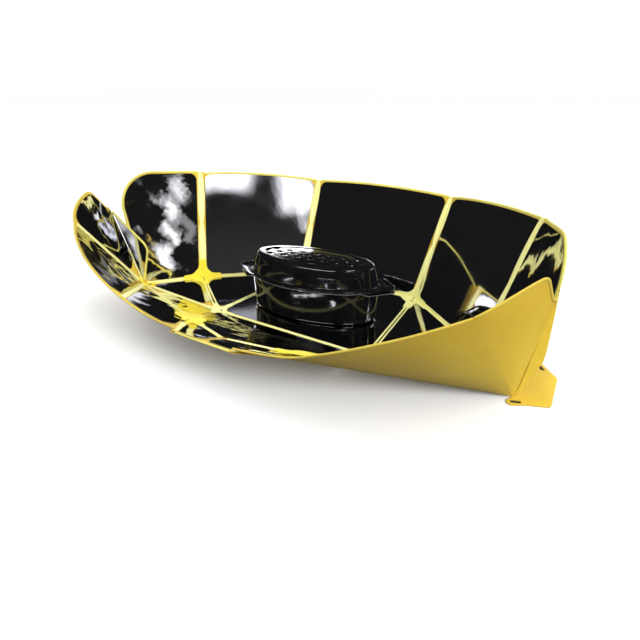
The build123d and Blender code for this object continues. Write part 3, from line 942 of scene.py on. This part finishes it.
def corner_tape(name, bodies, start, end, insides, low, ends=(10.0, 1.0), half=8.4, node=None):
    """A tape over the corner between two walls, inside and outside, sewn to the first of them."""
    line = trimmed(start, end, *ends)
    sides = both_ways(bodies, start, end, insides)
    shape = Shape()
    drawn(shape, *line, two_sided(sides, half), 40, lambda t: pinched(low, t))
    for across, up in sides:
        sewn(shape, *line, 40, up, lambda t: across * ((half - 2.0) * pinched(low, t)) + up * 0.5)
    (in_a, up_a), (in_b, up_b) = sides
    outer = [
        (in_a * (half + 0.6), up_a * -3.3), (in_a * (half + 0.2), up_a * -4.1),
        (Vector(), (up_a + up_b) * -2.4), (in_b * (half + 0.2), up_b * -4.1),
        (in_b * (half + 0.6), up_b * -3.3), (Vector(), (up_a + up_b) * -1.9),
    ]
    drawn(shape, *line, outer, 40, slot=2)
    dressed(shape.make(name, [PALE, THREAD, MUSTARD], 50), bodies[0], node)


for side, at in SPOTS.items():
    corner_tape(
        f"back_corner_tape_{side}", ("back_wall", f"rear_wall_{side}"), at["rear"], at["back_top"],
        (BACK_SPOT, at["flank_top"]), 0.45, node="back_wall_gussets" if side == "right" else None)
    corner_tape(
        f"flank_corner_tape_{side}", (f"side_wall_{side}", f"rear_wall_{side}"), at["flank"],
        at["flank_top"], (at["corner"], at["rear"]), 0.5, node=f"side_{side}_gusset")


def flank_lap(side, steps=24):
    """The cloth outside a flank corner, from the side wall to the rear wall that leans out more."""
    at = SPOTS[side]
    wall = PANELS[f"side_wall_{side}"]
    out = (at["flank"] - at["rear"]).normalized().cross(UP)
    out = out if out.dot(at["flank"]) > 0 else -out
    rise = out * cos(REAR_LEAN) + UP * sin(REAR_LEAN)
    rear = Panel(at["rear"], at["flank"], at["flank"] + rise)
    a, b = trimmed(at["flank"], at["flank_top"], 50, 3)
    in_a = inward(f"side_wall_{side}", a, b, at["corner"])
    foot, top = (point - rear.normal * rear.local(point).z for point in (a, b))
    in_b = rear.normal.cross((top - foot).normalized())
    in_b = in_b if in_b.dot(at["rear"] - a) > 0 else -in_b
    rings = []
    for i in range(steps + 1):
        on_wall = (a.lerp(b, i / steps), in_a, wall.normal)
        on_rear = (foot.lerp(top, i / steps), in_b, rear.normal)
        way = [(*on_wall, 10.0), (*on_wall, 4.0), (*on_rear, 4.0), (*on_rear, 12.0)]
        rings.append([place + across * reach - up * depth
                      for depth, points in ((3.4, way), (4.6, way[::-1]))
                      for place, across, up, reach in points])
    shape = Shape()
    sweep(shape, rings)
    lap = shape.make(f"flank_lap_{side}", [MUSTARD], 50)
    dressed(lap, f"side_wall_{side}")
    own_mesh(lap)


for side in SIDES:
    flank_lap(side)

for side, at in SPOTS.items():
    a, b = trimmed(at["lip_node"], LIP_PEAK_SPOT, 10, 8)
    up = LIP.normal
    across = up.cross((b - a).normalized())
    half = [(4.4, -0.4), (3.6, 0.2), (1.8, 0.5)]
    section = half + [(0.0, 0.15)] + [(-x, y) for x, y in half[::-1]] + [(-4.4, -1.2), (4.4, -1.2)]
    shape = Shape()
    drawn(shape, a, b, [(across * x, up * y) for x, y in section], 24)
    for offset in (1.8, -1.8):
        sewn(shape, a, b, 24, up, lambda t: across * offset + up * 0.45)
    dressed(shape.make(f"lip_tape_{side}", [PALE, THREAD], 50), "lip",
            "lip_beads" if side == "right" else None)
    corner_tape(f"lip_seam_tape_{side}", ("lip", f"flap_{side}"), at["lip_node"], at["lip_corner"],
                (LIP_PEAK_SPOT, at["flap_hem"]), 0.6, (50.0, 1.0), 6.0)


def patch(shape, body, corner, rays, arms, base, arm, width, slot):
    """A star-shaped patch of cloth at a corner of a panel, with an arm along each line."""
    panel = PANELS[body]
    centre = panel.local(corner)

    def angle_to(point):
        way = panel.local(point) - centre
        return atan2(way.y, way.x)

    first, last = (angle_to(point) for point in rays)
    sweep_angle = (last - first + pi) % (2 * pi) - pi
    points = [(centre.x, centre.y)]
    for i in range(PATCH_STEPS + 1):
        theta = first + sweep_angle * i / PATCH_STEPS
        total = base ** 4
        for point in (*rays, *arms):
            turn = (theta - angle_to(point) + pi) % (2 * pi) - pi
            if abs(turn) < pi / 2:
                total += min(arm, width / max(1e-3, abs(sin(turn)))) ** 4
        reach = min(arm * 1.04, total ** 0.25)
        points.append((centre.x + reach * cos(theta), centre.y + reach * sin(theta)))
    sweep(shape, [[panel.world(x + (centre.x - x) * shrink, y + (centre.y - y) * shrink, level)
                   for x, y in points]
                  for level, shrink in ((-0.9, 0.0), (PATCH_TOP - 0.35, 0.0), (PATCH_TOP, 0.035))],
          slot, local=panel.local)


def rivet(shape, place, radius, height, slot):
    """A domed rivet head with a fine rim, on the floor sheet."""
    side = UP.orthogonal().normalized() * radius
    domes = ((1.0, -0.4), (1.0, 0.12), (0.93, 0.3), (0.72, 0.72), (0.4, 0.94), (0.12, 1.0))
    sweep(shape, [oval(place + UP * height * lift, side * share, UP.cross(side) * share, 20)
                  for share, lift in domes], slot)


# Each patch: its body, its corner, the folds on both sides of it, more arms, and its sizes
FLOOR_REAR, FLOOR_FLANK, FLOOR_FRONT = (27.0, 56.0, 8.5), (27.0, 44.0, 6.5), (17.0, 38.0, 5.6)
AT_REAR, AT_FLANK, AT_FRONT = (16.0, 40.0, 7.0), (21.0, 42.0, 8.5), (14.0, 32.0, 5.6)
AT_NODE, AT_CORNER = (28.0, 48.0, 8.0), (15.0, 26.0, 5.0)
NODE_PATCHES = (
    ("floor", "rear", ("far rear", "flank"), ("front",), FLOOR_REAR),
    ("back_wall", "rear", ("far rear", "back_top"), (), AT_REAR),
    ("rear_wall", "rear", ("flank", "back_top"), (), AT_REAR),
    ("floor", "flank", ("rear", "corner"), ("front",), FLOOR_FLANK),
    ("rear_wall", "flank", ("rear", "flank_top"), (), AT_FLANK),
    ("side_wall", "flank", ("corner", "flank_top"), (), AT_FLANK),
    ("floor", "front", ("far front", "corner"), ("rear", "flank"), FLOOR_FRONT),
    ("lip", "front", ("far front", "lip_node"), (), AT_FRONT),
    ("gusset", "front", ("corner", "lip_node"), (), AT_FRONT),
    ("gusset", "lip_node", ("front", "corner"), (), (30.0, 50.0, 8.0)),
    ("lip", "lip_node", ("front", "lip_corner"), ("lip_peak",), AT_NODE),
    ("flap", "lip_node", ("corner", "lip_corner"), (), AT_NODE),
    ("floor", "corner", ("flank", "front"), (), (16.0, 30.0, 5.6)),
    ("gusset", "corner", ("front", "lip_node"), (), (15.0, 27.0, 5.0)),
    ("flap", "corner", ("lip_node", "flap_hem"), (), AT_CORNER),
    ("wing", "corner", ("flap_hem", "wing_fold"), (), AT_CORNER),
    ("petal", "corner", ("wing_fold", "petal_rear"), (), (15.0, 24.0, 5.0)),
)
shapes = {}
for side, at in SPOTS.items():
    far = LEFT if side == "right" else RIGHT
    spots = {**at, "far rear": far["rear"], "far front": far["front"], "lip_peak": LIP_PEAK_SPOT}
    for part, corner, rays, arms, sizes in NODE_PATCHES:
        body = part if part in PANELS else f"{part}_{side}"
        patch(shapes.setdefault(body, Shape()), body, at[corner], [spots[name] for name in rays],
              [spots[name] for name in arms], *sizes, 2 if corner in ("rear", "front") else 0)
for side, at in SPOTS.items():
    for node, way in (("rear", at["front"]), ("flank", at["front"]), ("front", FLOOR_SPOT)):
        run = (way - at[node]).normalized()
        for reach in (7.0, 21.0):
            rivet(shapes["floor"], at[node] + run * reach + UP * PATCH_TOP, 2.3, 1.3, 1)
    run = ((at["flank"] + at["front"]) / 2 - at["corner"]).normalized()
    eyelet = at["corner"] + run * 14.0 + UP
    sweep(shapes["floor"], [oval(eyelet + way * 2.6, way * 1.1, UP * 0.8, 8)
                            for way in oval(Vector(), X, Y, 28)], 1, closed=True)
for body, shape in shapes.items():
    dressed(shape.make(f"patches_{body}", [BRIGHT, BRASS, PALE], 40), body,
            "corner_rivets" if body == "floor" else None)


# ---------------------------------------------------------------- floor and side pleats

panel_pieces("floor", "floor_cover", lambda x, y: 0.0, SMOOTH_FILM,
             mirror_nodes=("floor_center_mirror", "floor_right_mirrors"))
dressed(finished(refined("floor_left_mirrors", FLOOR), "floor_left_films", FLOOR, WAVY_FILM),
        "floor", "floor_left_mirrors")

PLEAT_CORNER = (396.0, 17.0, 85.0)
PLEAT_R = 13.0
PLEAT_FULL = 0.34       # below this share of its height a pleat thins towards the side corner
PLEAT_ROWS = 26
PLEAT_COLUMNS = 8


def pleat(side, corner, rear):
    """A narrow pleat between a petal and its side wall: film, cloth and a hem on its free edges."""
    outer = spot(PLEAT_CORNER, SIDES[side])
    panel = Panel(corner, rear, outer)
    top_edge = (outer - rear).length
    height = (outer - corner).length

    def pleat_point(row, column, depth):
        """A place on the pleat: rows run up from the side corner, columns back from the petal."""
        share = 0.05 + 0.95 * row / PLEAT_ROWS
        near, far = corner.lerp(rear, share), corner.lerp(outer, share)
        below = (1 - share) * height
        cut = PLEAT_R - sqrt(PLEAT_R ** 2 - max(0.0, PLEAT_R - below) ** 2)
        reach = 1 - cut / max(top_edge * share, PLEAT_R)
        place = near.lerp(far, column / PLEAT_COLUMNS * reach)
        return place + panel.normal * depth * min(1.0, share / PLEAT_FULL)

    columns = range(PLEAT_COLUMNS + 1)
    layers = []
    for top, low, kind, look in (
        (0.0, -MIRROR + 0.1, "film", WAVY_FILM), (-MIRROR, -WALL_DEPTH, "cloth", MUSTARD),
    ):
        shape = Shape()
        sweep(shape, [[pleat_point(row, column, top) for column in columns] +
                      [pleat_point(row, column, low) for column in reversed(columns)]
                      for row in range(PLEAT_ROWS + 1)], local=panel.local)
        layers.append(shape.make(f"pleat_{side}_{kind}", [look], 40))
    film_layer, cover = layers
    path = [pleat_point(PLEAT_ROWS, column, -MIRROR) for column in columns]
    path += [pleat_point(row, PLEAT_COLUMNS, -MIRROR) for row in range(PLEAT_ROWS - 1, 1, -1)]
    binding = hem(f"pleat_{side}_hem", evened(path), outer - rear.lerp(corner, 0.4), panel.normal,
                  GOLD)
    body = f"side_wall_{side}"
    dressed(film_layer, body, f"pleat_{side}_mirror")
    dressed(cover, body, f"pleat_{side}_cover")
    dressed(binding, body)


def petal_wedge(side, corner, rear, tip):
    """A pale strip at the foot of a petal's rear edge, which narrows upwards."""
    wedge = Shape()
    across = inward(f"petal_{side}", corner, rear, tip)
    up = PANELS[f"petal_{side}"].normal
    section = ((0.4, -0.3), (0.4, 0.7), (3.2, 1.2), (6.2, 0.7), (6.2, -0.3))
    drawn(wedge, corner.lerp(rear, 0.08), corner.lerp(rear, 0.5),
          [(across * x, up * y) for x, y in section], 16, lambda t: 1 - 0.85 * t)
    dressed(wedge.make(f"petal_{side}_wedge", [PALE], 50), f"petal_{side}")


for side, at in SPOTS.items():
    pleat(side, at["corner"], at["petal_rear"])
    petal_wedge(side, at["corner"], at["petal_rear"], at["petal_tip"])


# ---------------------------------------------------------------- ears and feet

FOOT_THICK = 1.2
FOOT_PUFF = 3.0
SLOT_FRONT = (416.0, -12.0)
SLOT_REAR = (430.0, 108.0)
# An ear's half thickness, from its seam to near its fold
EAR_SECTION = ((0.0, 0.9), (0.3, 1.1), (0.6, 1.2), (0.85, 1.1), (0.96, 0.8))


def ear(side, sign):
    """A folded ear of cloth with a row of stitches, over the CAD ear's three corners."""
    places = [v.co * 1000 for v in frame["nodes"][f"ear_{side}"].data.vertices]
    low = min(places, key=lambda q: q.z)
    high = max(places, key=lambda q: q.z)
    axis = (high - low).normalized()
    tip = max(places, key=lambda q: (q - low).cross(axis).length)
    out = (tip - low) - axis * (tip - low).dot(axis)
    reach, out = out.length, out.normalized()
    face = axis.cross(out) * sign
    length = (high - low).length
    peak = (tip - low).dot(axis) / length
    rings, fold = [], []
    for i in range(41):
        t = i / 40
        wide = min(t / peak, (1 - t) / (1 - peak))
        wide = max(0.03, wide - 0.08 * max(0.0, 1 - abs(t - peak) * 9)) * reach
        thin = face * min(1, wide / 8)
        centre = low + axis * length * t
        rings.append([
            *(centre + out * wide * share + thin * half for share, half in EAR_SECTION),
            centre + out * wide,
            *(centre + out * wide * share - thin * half for share, half in reversed(EAR_SECTION)),
        ])
        fold.append(centre + out * max(0.0, wide - 4.5) + thin * 1.1)
    shape = Shape()
    sweep(shape, rings)
    stitches(shape, fold[3:-3], face)
    piece = dressed(shape.make(f"ear_cloth_{side}", [MUSTARD, THREAD], 70), f"ear_{side}",
                    f"ear_{side}")


def foot(side, sign):
    """A puffed foot, laid on the ground, with painted shade in its two slots: a dark sheet in each."""
    bm = refined(f"foot_{side}", FLOOR)
    bm.normal_update()
    edges = [
        (e.verts[0].co.copy(), e.verts[1].co.copy()) for e in bm.edges
        if e.calc_face_angle(0.0) > 1.0 and min(v.co.z for v in e.verts) > FOOT_THICK / 2
    ]
    for vert in bm.verts:
        if vert.co.z > FOOT_THICK / 2:
            vert.co.z += FOOT_PUFF * sqrt(min(1.0, away(vert.co, edges) / 14.0))
    area = sum(f.calc_area() for f in bm.faces if f.normal.z < -0.5)
    body = body_of(frame["nodes"][f"foot_{side}"])[0]
    piece = dressed(finished(bm, f"foot_cloth_{side}", FLOOR, MUSTARD, 50), body,
                    f"foot_{side}")
    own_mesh(piece)

    # Painted shade: a thin dark sheet in each slot stands for the shade inside it
    slot_shade = Shape()
    for (x, y), turn in ((SLOT_FRONT, 20.0), (SLOT_REAR, 125.0)):
        turn = radians(turn if sign > 0 else 180.0 - turn)
        run = Vector((cos(turn), sin(turn), 0)) * 9.0
        over = UP.cross(run) * (4.4 / 9.0)
        centre = Vector((sign * x, y, 0.35))
        ring = [(over * way, UP * level)
                for way, level in ((1, 0.2), (-1, 0.2), (-1, -0.2), (1, -0.2))]
        drawn(slot_shade, centre - run, centre + run, ring, 2)
    inside = dressed(slot_shade.make(f"foot_slot_shade_{side}", [SHADED], 50), body)


for side, sign in SIDES.items():
    ear(side, sign)
    foot(side, sign)


# ---------------------------------------------------------------- pan and lid

POT_AT = Vector((-8.0, 93.0, FOLD_Z))
POT_TURN = radians(8.0)
POT_HALF = (134.0, 69.0)
POT_TAPER = 3.0
BASE_R = 9.0            # the round between the pan's side and its base
FLANGE = 2.0            # the flanges' thickness
PAN_HEIGHT = 71.0
LID_SEAT = 0.3
RIM_OUT = 4.0
EAR_REACH = 38.0
EAR_HALF_WIDTH = 42.0
LID_SHOULDER = 34.0
LID_HEIGHT = 44.0
ROUND = 240
RIM_HIGHLIGHT_RINGS = (15, 18)     # the pan's flange, whose outer edge is painted grey as a highlight along the rim


def pot_point(angle, radius, level):
    turn = angle + POT_TURN
    return POT_AT + Vector((radius * cos(turn), radius * sin(turn), level))


def oval_reach(angle, grow, side_grow=None):
    """The oval rim's radius at an angle, grown or shrunk by these amounts at its ends and sides."""
    a = POT_HALF[0] + grow
    b = POT_HALF[1] + (grow if side_grow is None else side_grow)
    return 1 / sqrt((cos(angle) / a) ** 2 + (sin(angle) / b) ** 2)


def ear_reach(angle):
    """The radius of the flange with its two pointed ears."""
    over, side = abs(cos(angle)), abs(sin(angle))
    run = EAR_REACH + RIM_OUT
    slant = (POT_HALF[0] + EAR_REACH) * EAR_HALF_WIDTH / (
        EAR_HALF_WIDTH * over + run * sqrt(side * side + 0.0009))
    flat_side = EAR_HALF_WIDTH / max(side, 0.001)
    return max(oval_reach(angle, RIM_OUT), min(slant, flat_side))


def ring_of(radius_at, level_at):
    return [pot_point(a, radius_at(a), level_at(a)) for a in round_turn(ROUND)]


def level_ring(level, grow, side_grow=None):
    return ring_of(lambda a: oval_reach(a, grow, side_grow), lambda a: level)


def ear_share(angle):
    """How much of an ear there is at an angle, from none to one at the tip."""
    beyond = ear_reach(angle) - oval_reach(angle, RIM_OUT)
    return max(0.0, min(1.0, beyond / (EAR_REACH - RIM_OUT)))


def flange_rings(top, tip_lift, hollow, inner):
    """Rings from the flange's under side near the wall, out round its edge, and back over it."""
    def at(share, level, trim=0.0):
        def radius(a):
            near = oval_reach(a, inner)
            return near + (ear_reach(a) - near) * share - trim

        def height(a):
            ear = ear_share(a)
            return level + ear * (tip_lift * share * share - hollow * 4 * share * (1 - share))
        return ring_of(radius, height)
    under, low, high = top - FLANGE, top - FLANGE + 0.5, top - 0.4
    return [
        at(0.0, under), at(0.35, under), at(0.7, under), at(1.0, under, 0.7), at(1.0, low),
        at(1.0, high), at(1.0, top + 0.35, 0.9), at(1.0, top + 0.3, 2.2), at(0.75, top),
        at(0.5, top), at(0.25, top), at(0.0, top),
    ]


def bend(count, first=0):
    """Sines and 1 - cosines of a quarter turn in this many steps."""
    return [(sin(pi / 2 * k / count), 1 - cos(pi / 2 * k / count)) for k in range(first, count + 1)]


rings = [level_ring(0.0, -POT_TAPER - 24), level_ring(0.0, -POT_TAPER - BASE_R)]
rings += [level_ring(BASE_R * up, -POT_TAPER - BASE_R * (1 - over)) for over, up in bend(6)]
rings += [level_ring(level, -POT_TAPER * (PAN_HEIGHT - level) / (PAN_HEIGHT - BASE_R))
          for level in (12.0, 30.0, 50.0, 66.0)]
rings += flange_rings(PAN_HEIGHT, -5.0, 1.2, -0.6)
rings.append(level_ring(PAN_HEIGHT - 0.4, -1.6))
rings += [level_ring(level, -1.7 - POT_TAPER * (PAN_HEIGHT - level) / PAN_HEIGHT)
          for level in (60.0, 30.0, 12.0)]
rings += [level_ring(BASE_R - 7.2 * over, -POT_TAPER - 1.7 - 8 * up) for over, up in bend(5, 1)]
rings.append(level_ring(1.7, -POT_TAPER - 26))
pan_shape = Shape()
sweep(pan_shape, rings)
# Painted highlight: the flange's outer edge gets the grey enamel in place of the rim's catch light
for face in range(RIM_HIGHLIGHT_RINGS[0] * ROUND, RIM_HIGHLIGHT_RINGS[1] * ROUND):
    pan_shape.slots[face] = 1
dressed(pan_shape.make("enamel_pan", [BLACK, PAINTED_RIM_HIGHLIGHT], 50), "pan", "pan")

DIMPLES = [
    (x, (row - 1) * 15.0) for row in range(3) for u in range(-3, 4)
    if abs(x := u * 30.0 + (15.0 if row % 2 else 0.0)) < 92
]


def top_reach(angle):
    """The radius of the lid's flat top."""
    return oval_reach(angle, -16.0, -23.0)


def lid_top(angle, radius):
    """How high the lid's top stands above its edge: a slight dome, a step and rows of dimples."""
    share = radius / top_reach(angle)
    height = 0.6 * (1 - share * share) - 1.3 * eased((0.90 - share) / 0.05)
    for x, y in DIMPLES:
        far = ((radius * cos(angle) - x) / 7.5) ** 2 + ((radius * sin(angle) - y) / 4.6) ** 2
        height -= 1.5 * max(0.0, 1 - far) ** 1.5
    return height


base = PAN_HEIGHT + LID_SEAT
rings = [level_ring(base + 0.1, -1.6)]
rings += flange_rings(base + 2.0, 4.0, 0.8, -0.4)
rings.append(level_ring(base + 2.8, -1.0))
rings += [level_ring(base + level, -1.0 - 7.2 * (level / LID_SHOULDER) ** 1.3)
          for level in (8.0, 16.0, 24.0, 30.0)]
rings += [level_ring(base + LID_SHOULDER - 2.0 + 11.0 * over, -8.4 - 7.6 * up ** 0.9,
                     -8.4 - 14.6 * up ** 0.9) for over, up in bend(8)]
for k in range(1, 46):
    share = 1 - k / 46
    rings.append(ring_of(
        lambda a: top_reach(a) * share,
        lambda a: base + LID_HEIGHT - 1.0 + lid_top(a, top_reach(a) * share)))
rings += [
    level_ring(base + LID_HEIGHT - 4.5, -POT_HALF[0] + 4, -POT_HALF[1] + 2),
    level_ring(base + LID_HEIGHT - 4.2, -20.0, -27.0),
    level_ring(base + LID_SHOULDER - 2.0, -10.6),
    level_ring(base + 3.0, -2.6),
    level_ring(base + 0.1, -1.7),
]
lid_shape = Shape()
sweep(lid_shape, rings, closed=True)
dressed(lid_shape.make("enamel_lid", [BLACK], 50), "lid", "lid")


# ---------------------------------------------------------------- stage, light and camera

def window(azimuth, elevation, half_width, half_height, soft, strength):
    """A soft-edged bright rectangle in the surroundings, seen only as a reflection."""
    a, e = radians(azimuth), radians(elevation)
    centre = Vector((sin(a) * cos(e), -cos(a) * cos(e), sin(e)))
    right = Vector((cos(a), sin(a), 0.0))
    up = centre.cross(right).normalized()
    ahead = sky.dot(way, centre)
    bright = sky.math("GREATER_THAN", ahead, 0.01)
    ahead = sky.math("MAXIMUM", ahead, 0.001)
    for axis, half in ((right, half_width), (up, half_height)):
        across = sky.math("ABSOLUTE", sky.math("DIVIDE", sky.dot(way, axis), ahead))
        edge = sky.math("SUBTRACT", tan(radians(half)), across)
        mask = sky.math("DIVIDE", edge, tan(radians(soft)))
        mask = sky.math("MINIMUM", sky.math("MAXIMUM", mask, 0.0), 1.0)
        bright = sky.math("MULTIPLY", bright, mask)
    return sky.math("MULTIPLY", bright, strength)


world = bpy.data.worlds.new("studio")
bpy.context.scene.world = world
world.use_nodes = True
world.node_tree.nodes.clear()
sky = Nodes(world.node_tree)
way = sky.place("Generated")
glow = 0.012
# Each window: azimuth, elevation, half width, half height and soft edge in degrees, and strength
for numbers in (
    (37.6, 43.0, 4.4, 3.8, 2.0, 3.2),
    (42.5, 43.5, 3.0, 3.4, 2.4, 0.25),
    (48.8, 41.5, 2.2, 4.5, 1.1, 1.7),
    (50.2, 37.0, 1.1, 2.4, 0.9, 1.2),
    (90.0, 17.6, 4.2, 2.8, 3.0, 1.6),
    (82.5, 14.5, 5.0, 3.6, 3.2, 1.6),
    (72.0, 12.5, 6.4, 3.8, 3.2, 1.5),
    (62.0, 6.5, 6.4, 4.4, 3.0, 1.6),
    (76.0, 19.5, 6.0, 3.0, 1.6, 0.35),
    (53.0, 68.0, 6.0, 2.4, 0.9, 26.0),
    (38.0, 79.5, 3.0, 2.8, 1.2, 0.7),
    (-20.0, 64.0, 16.0, 1.8, 1.2, 26.0),
    (67.0, 41.8, 3.6, 1.6, 1.0, 2.2),
    (142.5, 6.5, 2.8, 2.2, 1.2, 1.6),
    (10.0, 6.5, 9.0, 0.7, 0.6, 18.0),
    (40.0, 32.0, 16.0, 8.0, 8.0, 0.03),
):
    glow = sky.math("ADD", window(*numbers), glow)


def background(colour, strength):
    return sky.add("ShaderNodeBackground", Color=colour, Strength=strength).outputs[0]


# Reflections show the windows, other light comes from a sky that darkens downwards, and the
# picture's own background is white
ray = sky.add("ShaderNodeLightPath").outputs
height = sky.add("ShaderNodeSeparateXYZ", Vector=way).outputs["Z"]
level = sky.math("MULTIPLY_ADD", height, 2.2, 0.58)
level = sky.math("MINIMUM", sky.math("MAXIMUM", level, 0.05), 1.12)
lit = sky.mix(ray["Is Glossy Ray"], background((0.98, 0.99, 1.0, 1), level),
              background((1, 1, 1, 1), glow))
sky.add("ShaderNodeOutputWorld", sky.mix(ray["Is Camera Ray"], lit, background((1, 1, 1, 1), 1.0)))

ground_look, ground_nodes, ground_shader = material("pale_floor")
ground_nodes.set(ground_shader, Base_Color=(0.93, 0.93, 0.935, 1), Roughness=0.8,
                 Specular_IOR_Level=0.1)
ground_shape = Shape()
ground_shape.add([(x * 9000, y * 9000, 0) for x, y in ((-1, -1), (1, -1), (1, 1), (-1, 1))],
                 [(0, 1, 2, 3)])
ground = ground_shape.make("ground", [ground_look])
ground.location.z = -0.0004
ground.visible_glossy = False
ground.visible_diffuse = False


def area_light(name, place, aim, size, power):
    lamp = bpy.data.lights.new(name, "AREA")
    lamp.shape = "DISK"
    lamp.size = size
    lamp.energy = power
    made = bpy.data.objects.new(name, lamp)
    made.location = place
    made.rotation_euler = (Vector(aim) - Vector(place)).to_track_quat("-Z", "Y").to_euler()
    made.visible_glossy = False
    bpy.context.scene.collection.objects.link(made)


area_light("key", (2.5, -0.9, 1.5), (0.1, 0.0, 0.1), 1.2, 68.0)
area_light("fill", (-2.2, 0.0, 1.5), (-0.2, 0.0, 0.1), 1.6, 16.0)
area_light("top", (0.0, 0.8, 2.4), (0.0, 0.0, 0.0), 1.6, 10.0)

camera_data = bpy.data.cameras.new("camera")
camera_data.lens = 28.125
camera_data.sensor_width = 36.0
camera = bpy.data.objects.new("camera", camera_data)
look = Vector((-0.472, 0.757, -0.451)).normalized()
right = look.cross(Vector((-0.239, 0.383, 0.892))).normalized()
turned = Matrix((right, right.cross(look), -look)).transposed().to_4x4()
camera.matrix_world = Matrix.Translation((0.4919, -0.6856, 0.4472)) @ turned
bpy.context.scene.collection.objects.link(camera)
bpy.context.scene.camera = camera
bpy.context.scene.view_settings.view_transform = "Standard"
